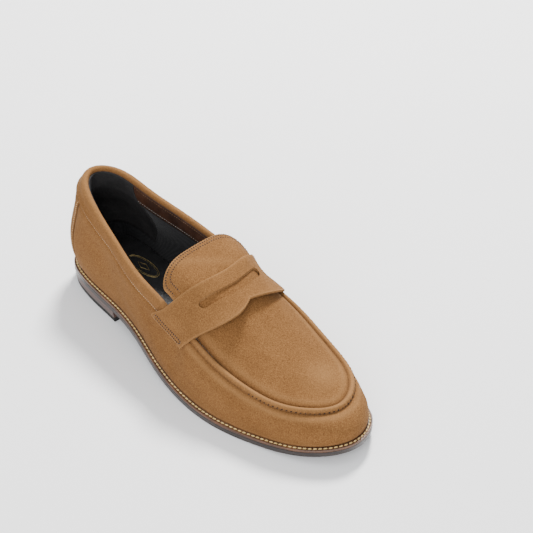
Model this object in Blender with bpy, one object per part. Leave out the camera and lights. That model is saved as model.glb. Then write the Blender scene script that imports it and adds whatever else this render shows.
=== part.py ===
"""Penny loafer for the right foot: millimetres in the tables, metres in the scene. Toe towards -Y."""
import math

import bpy
import bmesh
import numpy as np
from mathutils import Vector
from mathutils.bvhtree import BVHTree

MM = 0.001
GAP = 0.3  # clearance between neighbouring pieces
CENTRE = (3.25, -2.2)  # shift that puts the bounding box centre on the origin

# Sole edge (x, y) and, beside each point, the top line (x, y, z) that its section ends on.
# The top line is the collar's inner rim behind the instep and the plug seam in front of it.
STATIONS = (
    (0, 150, 0, 140.5, 88.5),
    (-21.5, 143.5, -12.5, 131, 86.5),
    (-32, 120, -20, 107, 78.5),
    (-36, 80, -26, 78, 71),
    (-41, 44, -31.5, 47, 63.5),
    (-49.5, 8, -34, 14, 58.5),
    (-54, -28, -36, -22, 48.5),
    (-52.5, -61, -36, -51, 40.5),
    (-42.5, -96, -31.5, -83, 35.5),
    (-26, -132, -19.5, -112, 34),
    (1, -150, 3.5, -127.5, 33.5),
    (28.5, -137.5, 23.5, -118, 34.5),
    (41.5, -105, 34, -97, 36),
    (47.5, -70, 38, -69, 40.5),
    (45.5, -36, 39, -38, 48.5),
    (36, -3, 35, -3, 57),
    (30, 31, 34, 26, 62),
    (29.5, 68, 29, 64, 70),
    (31.5, 115, 20, 107, 79.5),
    (22.5, 143, 12.5, 131, 87),
)
HEEL_BREAST_Y = 75.5
HEEL_RISE = 10.3  # outsole underside above the floor at the heel
TREAD_FROM_Y, TREAD_TO_Y = -80, -40  # flat part of the forefoot
TOE_SPRING = 9.3
TOE_END_Y = -150
OUTSOLE_T, WELT_T, LIFT_T, TOP_PIECE_T = 3.3, 2.2, 2.9, 3.6
HEEL_TAPER = 1.3
FOOT_Z = OUTSOLE_T + WELT_T + 2 * GAP  # foot of the upper above the outsole underside
UPPER_INSET = 3.4  # upper's foot inside the sole edge
WELT_INNER = 9.0
BOARD_INSET = 8.0
BOARD_T, FOAM_T, SOCK_T = 2.4, 2.0, 1.2
SUEDE_T, STIFF_T, LINING_T, STRAP_T = 1.4, 0.7, 0.9, 1.8
RIM_OUT, RIM_DOWN = 5.5, 9.5  # collar stitch row from the inner rim: outwards, down
HEEL_PAD, HEEL_SWELL = 4.0, 7.5  # extra padding and swell round the back of the heel
RIDGE_OUT, RIDGE_DOWN = 3.9, 1.8  # vamp edge from the plug seam: outwards, down
RIDGE_R = 1.6
HINGE_Y, HINGE_Z = -8.5, 80.1

WALL_T = np.array([0, 0.12, 0.26, 0.42, 0.58, 0.74, 0.88, 1.0])


def cubic(knots, values, at, closed=False):
    """Cubic spline with continuous curvature. A closed one has one more knot than values."""
    knots, values, at = (np.asarray(a, float) for a in (knots, values, at))
    step, n = np.diff(knots), len(values)
    rows, right = np.eye(n), np.zeros_like(values)
    for i in range(0 if closed else 1, n if closed else n - 1):
        before, after = step[i - 1], step[i]
        rows[i] = 0
        rows[i, i - 1] += before
        rows[i, i] += 2 * (before + after)
        rows[i, (i + 1) % n] += after
        right[i] = 6 * (
            (values[(i + 1) % n] - values[i]) / after - (values[i] - values[i - 1]) / before
        )
    bend = np.linalg.solve(rows, right)
    if closed:
        values, bend = np.vstack([values, values[:1]]), np.vstack([bend, bend[:1]])
        at = knots[0] + (at - knots[0]) % (knots[-1] - knots[0])
    i = np.clip(np.searchsorted(knots, at, "right") - 1, 0, len(step) - 1)
    a = ((knots[i + 1] - at) / step[i])[..., None]
    b, h = 1 - a, step[i][..., None]
    curve = (a**3 - a) * bend[i] + (b**3 - b) * bend[i + 1]
    return a * values[i] + b * values[i + 1] + curve * h * h / 6


def smooth(x, start, end):
    s = np.clip((np.asarray(x, float) - start) / (end - start), 0, 1)
    return s * s * (3 - 2 * s)


TABLE = np.array(STATIONS, float)
LOOP = np.vstack([TABLE, TABLE[:1]])[:, :2]
KNOTS = np.concatenate([[0], np.cumsum(np.linalg.norm(np.diff(LOOP, axis=0), axis=1))])
GIRTH = KNOTS[-1]
KNOTS = KNOTS / GIRTH
U_TOE = KNOTS[10]
HEEL_ZONE, TOE_ZONE = 0.1, 0.12  # shares of the girth with closer sections
TURNS = (0, HEEL_ZONE, U_TOE - TOE_ZONE, U_TOE, U_TOE + TOE_ZONE, 1 - HEEL_ZONE, 1)
COUNTS = (11, 16, 11, 11, 16, 11)
SECTIONS = np.concatenate(
    [np.linspace(a, b, n, endpoint=False) for a, b, n in zip(TURNS, TURNS[1:], COUNTS)]
)


def edge(u):
    return cubic(KNOTS, TABLE[:, :2], u, closed=True)


def outward(u):
    """Horizontal outward direction of the sole edge, as (x, y, 0)."""
    d = edge(np.asarray(u) + 1e-4) - edge(np.asarray(u) - 1e-4)
    n = np.stack([d[..., 1], -d[..., 0], np.zeros(d.shape[:-1])], -1)
    return n / np.linalg.norm(n, axis=-1, keepdims=True)


def top_line(u):
    return cubic(KNOTS, TABLE[:, 2:], u, closed=True)


def rear_share(u):
    """1 along the foot opening, 0 along the plug seam."""
    return smooth(top_line(u)[..., 1], -24, -8)


def heel_share(u):
    """1 round the back of the heel, where the padding is thickest and the upper swells."""
    u = (np.asarray(u, float) + 0.5) % 1 - 0.5
    return 1 - smooth(np.abs(u), 0.02, 0.13)


def rim_out(u):
    return RIM_OUT + HEEL_PAD * heel_share(u)


def floor_z(y):
    """Height of the outsole's underside."""
    waist = HEEL_RISE * smooth(y, TREAD_TO_Y, HEEL_BREAST_Y)
    toe = np.clip((TREAD_FROM_Y - np.asarray(y, float)) / (TREAD_FROM_Y - TOE_END_Y), 0, 1.05)
    return waist + TOE_SPRING * toe**1.8


def up(z):
    z = np.asarray(z, float)
    return np.stack([0 * z, 0 * z, z], -1)


def wall(u, t):
    """Outer surface of the upper's wall: t is 0 at the welt and 1 at the vamp's top edge."""
    u, t = np.broadcast_arrays(np.asarray(u, float), np.asarray(t, float))
    n, e, top, rear = outward(u), edge(u), top_line(u), rear_share(u)
    foot = np.concatenate([e, (floor_z(e[..., 1]) + FOOT_Z)[..., None]], -1)
    foot = foot - n * UPPER_INSET
    out = RIDGE_OUT + (rim_out(u) - RIDGE_OUT) * rear
    swell = HEEL_SWELL * heel_share(u)
    down = RIDGE_DOWN + (RIM_DOWN - RIDGE_DOWN) * rear
    head = top + n * out[..., None] - up(down)
    height = head[..., 2] - foot[..., 2]
    inset = ((foot - head) * n).sum(-1)
    low = foot + n * (2.4 + rear + swell + 0.45 * np.maximum(0, -inset))[..., None]
    low = low + up(height * (0.45 - 0.12 * rear))
    high = head + n * (np.maximum(1.4, 0.62 * inset) + 0.4 * swell)[..., None]
    high = high - up(height * (0.13 + 0.25 * rear))
    t = t[..., None]
    return (
        (1 - t) ** 3 * foot + 3 * t * (1 - t) ** 2 * low + 3 * t * t * (1 - t) * high + t**3 * head
    )


def wall_normal(u, t):
    u, t = np.broadcast_arrays(np.asarray(u, float), np.asarray(t, float))
    along = wall(u + 2e-3, t) - wall(u - 2e-3, t)
    rise = wall(u, np.minimum(t + 0.01, 1)) - wall(u, np.maximum(t - 0.01, 0))
    n = np.cross(along, rise)
    n[..., 2] *= smooth(t, 0, 0.2)
    return n / np.linalg.norm(n, axis=-1, keepdims=True)


def inside_wall(u, t, depth):
    return wall(u, t) - wall_normal(u, t) * np.asarray(depth)[..., None]


# ---------------------------------------------------------------- meshes


def material(name, colour, roughness, metallic=0.0):
    mat = bpy.data.materials.new(name)
    mat.use_nodes = True
    shader = mat.node_tree.nodes["Principled BSDF"]
    shader.inputs["Base Color"].default_value = (*colour, 1)
    shader.inputs["Roughness"].default_value = roughness
    shader.inputs["Metallic"].default_value = metallic
    return mat


def add_object(name, points, faces, mat, origin=(0, 0, 0)):
    """A closed mesh from millimetre points: doubles merged and faces turned out."""
    shift = np.array([*CENTRE, 0])
    mesh = bpy.data.meshes.new(name)
    bm = bmesh.new()
    verts = [bm.verts.new(Vector((p + shift - origin) * MM)) for p in np.asarray(points, float)]
    for face in faces:
        bm.faces.new([verts[i] for i in face])
    bmesh.ops.remove_doubles(bm, verts=bm.verts, dist=1e-7)
    bmesh.ops.recalc_face_normals(bm, faces=bm.faces)
    bm.to_mesh(mesh)
    bm.free()
    mesh.materials.append(mat)
    obj = bpy.data.objects.new(name, mesh)
    obj.location = Vector(origin) * MM
    LOAFER.objects.link(obj)
    return obj


def grid_faces(rows, cols, start=0, closed=False):
    faces = []
    for i in range(rows if closed else rows - 1):
        for j in range(cols - 1):
            a, b = start + i * cols + j, start + (i + 1) % rows * cols + j
            faces.append((a, b, b + 1, a + 1))
    return faces


def slab(name, outer, inner, mat, closed=False, origin=(0, 0, 0)):
    """A solid sheet between two grids of the same layout."""
    rows, cols = outer.shape[:2]
    points = np.concatenate([outer.reshape(-1, 3), inner.reshape(-1, 3)])
    half = rows * cols
    faces = grid_faces(rows, cols, 0, closed)
    faces += [f[::-1] for f in grid_faces(rows, cols, half, closed)]
    for i in range(rows if closed else rows - 1):
        a, b = i * cols, (i + 1) % rows * cols
        faces.append((b, a, a + half, b + half))
        a, b = a + cols - 1, b + cols - 1
        faces.append((a, b, b + half, a + half))
    if not closed:
        for j in range(cols - 1):
            faces.append((j, j + 1, j + 1 + half, j + half))
            a = (rows - 1) * cols + j
            faces.append((a + 1, a, a + half, a + 1 + half))
    return add_object(name, points, faces, mat, origin)


def grid_normals(grid):
    """Unit normals of an open grid, turned up (or outwards where the sheet stands)."""
    a = np.gradient(grid, axis=0)
    b = np.gradient(grid, axis=1)
    n = np.cross(a, b)
    n /= np.linalg.norm(n, axis=-1, keepdims=True) + 1e-12
    return n * np.where(n[..., 2].mean() < 0, -1, 1)


def tube_ring(name, rings, mat):
    """Closed rings of points in a row, with end caps."""
    rings = np.asarray(rings)
    count, around = rings.shape[:2]
    faces = []
    for i in range(count - 1):
        for j in range(around):
            k = (j + 1) % around
            faces.append((i * around + j, i * around + k, (i + 1) * around + k, (i + 1) * around + j))
    faces.append(tuple(range(around)))
    faces.append(tuple(range((count - 1) * around, count * around))[::-1])
    return add_object(name, rings.reshape(-1, 3), faces, mat)


# ---------------------------------------------------------------- bottom


def sole_sides(inset):
    """(y, x lateral, x medial) of the sole outline moved inwards, as dense arrays."""
    u = np.linspace(0, 1, 1200, endpoint=False)
    p = edge(u) - (outward(u) * inset)[:, :2]
    toe, heel = p[:, 1].argmin(), p[:, 1].argmax()
    p = np.roll(p, -heel, axis=0)
    toe = (toe - heel) % len(p)
    lateral, medial = p[: toe + 1], np.vstack([p[toe:], p[:1]])
    return lateral[::-1], medial


def plate_grid(inset, ys, cols, height):
    lateral, medial = sole_sides(inset)
    ys = np.clip(ys, lateral[0, 1], lateral[-1, 1])
    left = np.interp(ys, lateral[:, 1], lateral[:, 0])
    right = np.interp(ys, medial[:, 1], medial[:, 0])
    s = np.linspace(0, 1, cols)
    x = left[:, None] + (right - left)[:, None] * s
    y = np.repeat(ys[:, None], cols, 1)
    return np.stack([x, y, height(y)], -1)


def plate_rows(inset, y_low, y_high, count):
    """Rows closer together towards the round ends of the outline."""
    lateral, _ = sole_sides(inset)
    low, high = lateral[0, 1], lateral[-1, 1]
    turn = np.linspace(math.pi, 0, count)
    ys = (low + high) / 2 + (high - low) / 2 * np.cos(turn)
    ys = ys[(ys > y_low + 2) & (ys < y_high - 2)]
    return np.concatenate([[max(low, y_low)], ys, [min(high, y_high)]])


def plate(name, insets, z_low, z_high, mat, span=(-200, 200), count=26, cols=5):
    """A flat layer of the bottom. insets are for its top and its underside."""
    top_rows = plate_rows(insets[0], *span, count)
    low_rows = plate_rows(insets[1], *span, count)
    top = plate_grid(insets[0], top_rows, cols, z_high)
    low = plate_grid(insets[1], low_rows, cols, z_low)
    return slab(name, top, low, mat)


def above_floor(rise):
    return lambda y: floor_z(y) + rise


def level(z):
    return lambda y: 0 * y + z


def make_welt(mat):
    u, count = SECTIONS, len(SECTIONS)
    e, n = edge(u), outward(u)
    rings = []
    for inset, rise in ((0, 0), (0, WELT_T), (WELT_INNER, WELT_T), (WELT_INNER, 0)):
        p = e - (n * inset)[:, :2]
        z = floor_z(p[:, 1]) + OUTSOLE_T + GAP + rise
        rings.append(np.column_stack([p, z]))
    grid = np.stack(rings, 1)
    around = len(rings)
    faces = []
    for i in range(count):
        for j in range(around):
            a, b, k = i * around, (i + 1) % count * around, (j + 1) % around
            faces.append((a + j, a + k, b + k, b + j))
    return add_object("welt", grid.reshape(-1, 3), faces, mat)


def make_bottom(mats):
    plate("outsole", (0, 0), above_floor(0), above_floor(OUTSOLE_T), mats["sole"], count=30)
    make_welt(mats["welt"])
    heel = (HEEL_BREAST_Y, 200)
    z = 0
    names = (("heel_top_piece", TOP_PIECE_T, "rubber"), ("heel_lift_2", LIFT_T, "stack"),
             ("heel_lift_1", LIFT_T, "stack"))
    for name, thick, mat in names:
        low_inset = HEEL_TAPER * (1 - z / HEEL_RISE)
        high_inset = HEEL_TAPER * (1 - (z + thick) / HEEL_RISE)
        plate(name, (high_inset, low_inset), level(z), level(z + thick), mats[mat],
              span=heel, count=34, cols=5)
        z += thick + GAP
    core = OUTSOLE_T + GAP
    plate("bottom_filler", (WELT_INNER + GAP,) * 2, above_floor(core),
          above_floor(core + WELT_T - GAP), mats["cork"], span=(-200, -4), count=26)
    ys = np.linspace(2, 100, 12)
    x = np.array([-7.0, 7.0]) - 3
    grid = np.stack(np.meshgrid(ys, x, indexing="ij")[::-1] + [0 * ys[:, None] + 0 * x], -1)
    low, high = grid.copy(), grid.copy()
    low[..., 2] = floor_z(low[..., 1]) + core
    high[..., 2] = floor_z(high[..., 1]) + core + WELT_T - GAP
    slab("shank", high, low, mats["steel"])
    rise = FOOT_Z
    layers = (("insole_board", BOARD_T, "board"), ("insole_foam", FOAM_T, "foam"),
              ("sock_liner", SOCK_T, "black"))
    for name, thick, mat in layers:
        plate(name, (BOARD_INSET,) * 2, above_floor(rise), above_floor(rise + thick), mats[mat])
        rise += thick + GAP


# ---------------------------------------------------------------- upper wall

BACKSTAY_TOP, BACKSTAY_FOOT = 0.0435, 0.065  # seam from the heel centre, as a share of the girth


def heel_seam(t):
    """Where the vamp meets the heel stay: close to the centre above, swept forward below."""
    return BACKSTAY_TOP + (BACKSTAY_FOOT - BACKSTAY_TOP) * (1 - np.asarray(t, float)) ** 2.2


def ring_us(start, end):
    """The shared sections between two places, with the two places added."""
    u = np.concatenate([SECTIONS - 1, SECTIONS, SECTIONS + 1])
    keep = u[(u > start + 0.003) & (u < end - 0.003)]
    return np.concatenate([[start], keep, [end]])


def make_vamp(mat):
    t = WALL_T
    seam = heel_seam(t)[None, :] + 0.2 / GIRTH
    share = np.linspace(0, 1, 8)[:-1, None]
    start = seam + (HEEL_ZONE - seam) * share
    middle = SECTIONS[(SECTIONS > HEEL_ZONE - 1e-6) & (SECTIONS < 1 - HEEL_ZONE + 1e-6)]
    u = np.vstack([start, middle[:, None] + 0 * seam, 1 - start[::-1]])
    grid_t = np.broadcast_to(t, u.shape)
    return slab("vamp", wall(u, grid_t), inside_wall(u, grid_t, 0 * u + SUEDE_T), mat)


def make_backstay(mat):
    t = WALL_T
    seam = heel_seam(t)[None, :] - 0.2 / GIRTH
    u = seam * np.linspace(-1, 1, 13)[:, None]
    grid_t = np.broadcast_to(t, u.shape)
    return slab("heel_backstay", wall(u, grid_t), inside_wall(u, grid_t, 0 * u + SUEDE_T), mat)


def wall_layer(name, span, t, depth, thick, mat):
    u = ring_us(*span)[:, None]
    t = np.asarray(t)[None, :]
    u, t = np.broadcast_arrays(u, t)
    d = depth(u, t)
    return slab(name, inside_wall(u, t, d), inside_wall(u, t, d + thick), mat)


def lining_depth(u, t):
    """Outer face of the lining under the wall: it moves inwards to make room for the collar foam."""
    base = SUEDE_T + 2.5 * GAP + STIFF_T + GAP
    return base + (rim_out(u) - 0.1 - base) * smooth(t, 0.45, 1) * rear_share(u)


def opening_us():
    """Places on the lateral and the medial side where the foot opening ends."""
    u = np.linspace(0, 1, 4001)
    y = top_line(u)[:, 1]
    inside = u[y < -3.0]
    return inside[0], inside[-1]


def make_collar(mats):
    lateral, medial = opening_us()
    u = ring_us(medial - 1, lateral)
    top, n = top_line(u), outward(u)

    wider = (rim_out(u) - RIM_OUT) / RIM_OUT

    def sweep(section):
        a, b = np.array(section, float).T
        low = 0.2 + 0.8 * smooth(-b, 3.5, 9)
        a = a * (1 + wider[:, None] * np.clip(a / RIM_OUT, 0, 1) * low)
        return top[:, None] + n[:, None] * a[..., None] + up(b * (1 + 0.12 * wider[:, None] * (b > 0)))

    band = ((5.5, -9.1), (5.8, -5.2), (5.2, -1.8), (3.9, 0.3), (2.5, 0.9), (1.0, 0.4),
            (-0.1, -1.0), (-0.2, -2.6),
            (0.9, -2.6), (1.6, -0.9), (2.6, -0.4), (3.3, -0.8), (4.1, -2.4), (4.6, -5.2),
            (4.3, -9.1))
    foam = ((4.0, -9.2), (4.2, -5.2), (3.7, -2.8), (3.0, -1.4), (2.4, -1.0), (1.8, -1.6),
            (1.5, -5.0), (1.4, -9.2))
    tube_ring("collar_band", sweep(band), mats["suede"])
    tube_ring("collar_foam", sweep(foam), mats["foam"])
    t_top = 0.92
    outer = inside_wall(u, t_top, lining_depth(u, t_top))
    inner = inside_wall(u, t_top, lining_depth(u, t_top) + LINING_T)
    lift = up(np.full(len(u), GAP))
    high_out = top + n * 0.9 - up(np.full(len(u), 2.95))
    high_in = top - n * 0.1 - up(np.full(len(u), 2.95))
    share = np.linspace(0, 1, 3)[None, :, None]
    face_out = (outer + lift)[:, None] * (1 - share) + high_out[:, None] * share
    face_in = (inner + lift)[:, None] * (1 - share) + high_in[:, None] * share
    slab("collar_facing", face_out, face_in, mats["facing"])


def make_linings(mats):
    lateral, medial = opening_us()
    half_gap = 0.2 / GIRTH
    t = [0, 0.16, 0.34, 0.5, 0.66, 0.8, 0.92]
    wall_layer("quarter_lining", (medial - 1 + half_gap, lateral - half_gap), t,
               lining_depth, LINING_T, mats["black"])
    wall_layer("vamp_lining", (lateral + half_gap, medial - half_gap),
               [0, 0.2, 0.42, 0.62, 0.8, 0.93], lining_depth, LINING_T, mats["lining"])
    stiff = SUEDE_T + 2.5 * GAP
    wall_layer("heel_counter", (-0.13, 0.13), [0.03, 0.16, 0.32, 0.48, 0.62],
               lambda u, t: 0 * u + stiff, STIFF_T, mats["board"])
    wall_layer("toe_puff", (U_TOE - 0.11, U_TOE + 0.11), [0.04, 0.22, 0.42, 0.62, 0.8, 0.9],
               lambda u, t: 0 * u + stiff, STIFF_T, mats["board"])
    make_grip(mats["grip"])


def grip_end(rise):
    """Front end of the heel grip, which leans forwards as it goes down from the rim (rise 1)."""
    return 0.063 + 0.030 * np.sin(math.pi / 2 * smooth(1 - np.asarray(rise, float), 0, 0.75))


def make_grip(mat):
    """Soft lining of the heel, from the collar's rim over the facing and down the black lining."""
    t = np.array([0.26, 0.36, 0.5, 0.66, 0.8, 0.92])
    low_rows, high_rows = len(t), 3
    rise = np.concatenate([0.85 * t, [0.87, 0.94, 1.0]])
    u = grip_end(rise)[None, :] * np.linspace(-1, 1, 19)[:, None]
    depth = lining_depth(u[:, :low_rows], t[None, :]) + LINING_T + 2 * GAP
    below = [inside_wall(u[:, :low_rows], t[None, :], depth + d) for d in (0, 0.7)]
    top, n = top_line(u[:, low_rows:]), outward(u[:, low_rows:])
    seam = inside_wall(u[:, low_rows:], 0.92, lining_depth(u[:, low_rows:], 0.92) + LINING_T)
    seam = seam + up(np.full(seam.shape[:2], GAP))
    rim = top - n * 0.1 - up(np.full(top.shape[:2], 2.95))
    share = np.linspace(0.3, 0.97, high_rows)[None, :, None]
    face = seam * (1 - share) + rim * share
    above = [face - n * (2 * GAP + d) for d in (0, 0.7)]
    outer, inner = (np.concatenate([a, b], 1) for a, b in zip(below, above))
    slab("heel_grip", outer, inner, mat)


# ---------------------------------------------------------------- plug, ridge, strap, tongue

CROWN = ((-127.5, 33.5), (-118, 36.2), (-105, 39.6), (-90, 43.7), (-75, 48.2), (-60, 53.2),
         (-45, 60.2), (-31, 67.2), (-20, 73.2), (-12, 77.9), (0, 82), (12, 83.8), (24, 84.6))
PLUG_REAR_Y = -10
PLUG_POWER = (2.15, 2.7)  # fullness of the cross-section at the toe and at the instep


def crown_z(y):
    ys, zs = np.array(CROWN, float).T
    return cubic(ys, zs[:, None], y)[..., 0]


def seam_sides():
    u = np.linspace(0.2, 0.85, 2000)
    p = top_line(u)
    tip = p[:, 1].argmin()
    return p[: tip + 1][::-1], p[tip:]


def plug_surface(y, s):
    """y in mm, s from -1 on the lateral seam to 1 on the medial seam."""
    lateral, medial = seam_sides()
    y = np.clip(y, lateral[0, 1], None)
    a = np.stack([np.interp(y, lateral[:, 1], lateral[:, k]) for k in range(3)], -1)
    b = np.stack([np.interp(y, medial[:, 1], medial[:, k]) for k in range(3)], -1)
    mid = (a + b) / 2
    p = mid + (b - a) / 2 * s[..., None]
    rise = crown_z(y) - mid[..., 2]
    power = PLUG_POWER[0] + (PLUG_POWER[1] - PLUG_POWER[0]) * smooth(y, -95, -20)
    p = p + up(rise * (1 - np.abs(s) ** power))
    p[..., 1] = y
    return p


def plug_grid(rear_y, rows, cols):
    lateral, _ = seam_sides()
    tip = lateral[0, 1]
    turn = 1 - np.cos(np.linspace(0, math.pi / 2, rows))
    ys = tip + (rear_y - tip) * turn
    s = np.sin(np.linspace(-1, 1, cols) * math.pi / 2 * 0.92) / math.sin(math.pi / 2 * 0.92)
    y, s = np.broadcast_arrays(ys[:, None], s[None, :])
    grid = plug_surface(y, s)
    grid[0] = grid[0].mean(0)
    return grid


def plug_normals(grid):
    n = grid_normals(grid)
    n[0] = n[1].mean(0)
    n[0] /= np.linalg.norm(n[0, 0])
    return n


def make_plug(mats):
    grid = plug_grid(PLUG_REAR_Y, 18, 11)
    n = plug_normals(grid)
    slab("apron", grid, grid - n * SUEDE_T, mats["suede"])
    low = SUEDE_T + GAP + 0.1
    slab("apron_lining", grid - n * low, grid - n * (low + LINING_T), mats["lining"])


def make_ridge(mat):
    lateral, medial = opening_us()
    u = ring_us(lateral + 0.016, medial - 0.016)
    top, n = top_line(u), outward(u)
    turn = np.arange(8) / 8 * 2 * math.pi
    a = 1.95 + RIDGE_R * np.cos(turn)
    b = -0.6 + RIDGE_R * np.sin(turn)
    rings = top[:, None] + n[:, None] * a[None, :, None] + up(b)[None]
    return tube_ring("apron_ridge", rings, mat)


STRAP_AXIS_Z = 35
STRAP_REAR_Y = -9.5
STRAP_ENDS = ((164.3, 175), (17, 7))  # lateral then medial end, degrees at the rear and front edge
STRAP_FRONT = ((0, -18), (0.12, -28), (0.21, -35.5), (0.32, -41), (0.42, -42), (0.49, -39.5),
               (0.54, -36.5))
STRAP_FRONT_MEDIAL = ((0.54, -36.5), (0.65, -38.3), (0.76, -37.6), (0.88, -31), (1, -19.5))


def strap_rear_y(x):
    return STRAP_REAR_Y + 23.5 * (np.abs(x) / 46) ** 2.6 + 5.5 * smooth(-x, 40, 44.3)


def strap_front_y(s):
    one, two = np.array(STRAP_FRONT, float), np.array(STRAP_FRONT_MEDIAL, float)
    first = cubic(one[:, 0], one[:, 1:], np.clip(s, 0, one[-1, 0]))[..., 0]
    second = cubic(two[:, 0], two[:, 1:], np.clip(s, two[0, 0], 1))[..., 0]
    return np.where(s < one[-1, 0], first, second)


def cast_trees(names):
    trees = []
    for name in names:
        obj = bpy.data.objects[name]
        points = [v.co + obj.location for v in obj.data.vertices]
        trees.append(BVHTree.FromPolygons(points, [tuple(p.vertices) for p in obj.data.polygons]))
    return trees


def support_radius(angle, y, names):
    """Radius about the strap's axis at which each ray leaves the named pieces."""
    trees = cast_trees(names)
    need = np.zeros_like(y)
    far = 0.09
    for i, j in np.ndindex(y.shape):
        way = Vector((math.cos(angle[i, j]), 0, math.sin(angle[i, j])))
        axis = Vector((CENTRE[0], y[i, j] + CENTRE[1], STRAP_AXIS_Z)) * MM
        start = axis + way * far
        for tree in trees:
            hit = tree.ray_cast(start, -way, far)
            if hit[0] is not None:
                need[i, j] = max(need[i, j], (hit[0] - axis).length / MM)
    return need


def strap_grid(cols, rows):
    s, w = np.meshgrid(np.linspace(0, 1, cols), np.linspace(0, 1, rows), indexing="ij")
    (a0, a1), (b0, b1) = STRAP_ENDS
    start, end = a0 + (a1 - a0) * w, b0 + (b1 - b0) * w
    angle = np.radians(start + (end - start) * s)
    rear = strap_rear_y(46 * np.cos(angle))
    y = rear + (strap_front_y(s) - rear) * w
    return angle, y


def tight_sheet(cols, rows, names, clear, rounds):
    """Radii of a sheet pulled tight over the named pieces, from a support sampled three times finer."""
    angle, y = strap_grid((cols - 1) * 3 + 1, (rows - 1) * 3 + 1)
    need = np.pad(support_radius(angle, y, names), 2, mode="edge")
    floor = np.zeros((cols, rows))
    for di in range(5):
        for dj in range(5):
            part = need[di : di + (cols - 1) * 3 + 1 : 3, dj : dj + (rows - 1) * 3 + 1 : 3]
            floor = np.maximum(floor, part)
    floor += clear
    rho = floor.copy()
    for _ in range(rounds):
        pad = np.pad(rho, 1, mode="edge")
        across = (pad[:-2, 1:-1] + pad[2:, 1:-1]) / 2
        along = (pad[1:-1, :-2] + pad[1:-1, 2:]) / 2
        rho = np.maximum(floor, 0.5 * across + 0.3 * along + 0.2 * rho)
    return rho


STRAP_BED = ("vamp", "apron", "apron_ridge", "collar_band", "tongue")


def make_strap(mat):
    cols, rows = 31, 7
    angle, y = strap_grid(cols, rows)
    rho = tight_sheet(cols, rows, STRAP_BED, 0.6, 30)
    low = np.stack([np.cos(angle) * rho, y, STRAP_AXIS_Z + np.sin(angle) * rho], -1)
    n = grid_normals(low)
    n = n * np.sign((n * (low - [0, 0, STRAP_AXIS_Z])).sum(-1, keepdims=True))
    strap = slab("saddle_strap", low + n * STRAP_T, low, mat)
    cut = slot_cutter()
    boolean = strap.modifiers.new("slot", "BOOLEAN")
    boolean.operation, boolean.solver, boolean.object = "DIFFERENCE", "EXACT", cut
    return strap


SLOT_HALF, SLOT_WIDE, SLOT_Y, SLOT_SAG = 27, 6.4, -24.0, 6.5


def slot_cutter():
    """Upright prism: a long slot with round ends, bent to follow the strap."""
    r = SLOT_WIDE / 2
    xs = np.linspace(-1, 1, 9) * (SLOT_HALF - r)
    line = [(x, r) for x in xs[::-1]] + [(x, -r) for x in xs]
    left = [(-SLOT_HALF + r - r * math.sin(a), -r * math.cos(a))
            for a in np.radians([45, 90, 135])]
    right = [(SLOT_HALF - r + r * math.sin(a), r * math.cos(a))
             for a in np.radians([45, 90, 135])]
    outline = line[:9] + [(x, -y) for x, y in left] + line[9:] + [(x, -y) for x, y in right]
    p = np.array(outline)
    y = SLOT_Y + p[:, 1] + SLOT_SAG * (p[:, 0] / SLOT_HALF) ** 2
    rings = [np.column_stack([p[:, 0], y, 0 * y + z]) for z in (40, 100)]
    cutter = tube_ring("slot_cutter", rings, bpy.data.materials["suede"])
    LOAFER.objects.unlink(cutter)
    CUTTERS.objects.link(cutter)
    cutter.hide_render = True
    cutter.display_type = "WIRE"
    return cutter


TONGUE_HALF, TONGUE_END_Y, TONGUE_ROUND_Y = 36, 22.5, 9.5
TONGUE_DROP, TONGUE_POWER, TONGUE_TILT, TONGUE_X = 14, 4.2, 0.08, 1.5
TONGUE_GAP, TONGUE_TUCK = 1.2, 4.2


def tongue_grid(cols, rows):
    x = np.sin(np.linspace(-1, 1, cols) * math.pi / 2 * 0.9) / math.sin(math.pi / 2 * 0.9)
    x = x * TONGUE_HALF
    full = np.clip(1 - np.abs(x / (TONGUE_HALF + 0.1)) ** 3, 0, 1) ** (1 / 3)
    end = TONGUE_ROUND_Y + (TONGUE_END_Y - TONGUE_ROUND_Y) * full
    start = strap_rear_y(x) + TONGUE_GAP
    v = np.linspace(0, 1, rows)
    y = start[:, None] + (end - start)[:, None] * v
    x = np.repeat(x[:, None], rows, 1)
    near = (1 - v) ** 2  # the tongue tucks in at its front edge, where the strap holds it down
    z = crown_z(y) + (TONGUE_TILT - 0.05 * near) * x
    z -= (TONGUE_DROP + TONGUE_TUCK * near) * np.abs(x / TONGUE_HALF) ** TONGUE_POWER
    return np.stack([x + TONGUE_X, y, z], -1)


def make_tongue(mats):
    grid = tongue_grid(15, 8)
    n = grid_normals(grid)
    hinge = (CENTRE[0], HINGE_Y + CENTRE[1], HINGE_Z)
    low = SUEDE_T + GAP
    slab("tongue", grid, grid - n * SUEDE_T, mats["suede"], origin=hinge)
    slab("tongue_lining", grid - n * low, grid - n * (low + LINING_T), mats["lining"], origin=hinge)


def make_materials():
    table = {
        "suede": ((0.36, 0.20, 0.09), 0.9),
        "sole": ((0.05, 0.04, 0.04), 0.5),
        "welt": ((0.20, 0.09, 0.04), 0.6),
        "rubber": ((0.015, 0.015, 0.015), 0.7),
        "stack": ((0.14, 0.09, 0.07), 0.5),
        "cork": ((0.45, 0.30, 0.17), 0.9),
        "board": ((0.55, 0.45, 0.32), 0.9),
        "foam": ((0.75, 0.72, 0.65), 0.95),
        "black": ((0.02, 0.02, 0.022), 0.6),
        "lining": ((0.10, 0.06, 0.04), 0.8),
        "facing": ((0.09, 0.035, 0.02), 0.6),
        "grip": ((0.03, 0.03, 0.03), 0.95),
        "steel": ((0.6, 0.6, 0.62), 0.35, 1.0),
    }
    return {name: material(name, *values) for name, values in table.items()}


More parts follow.
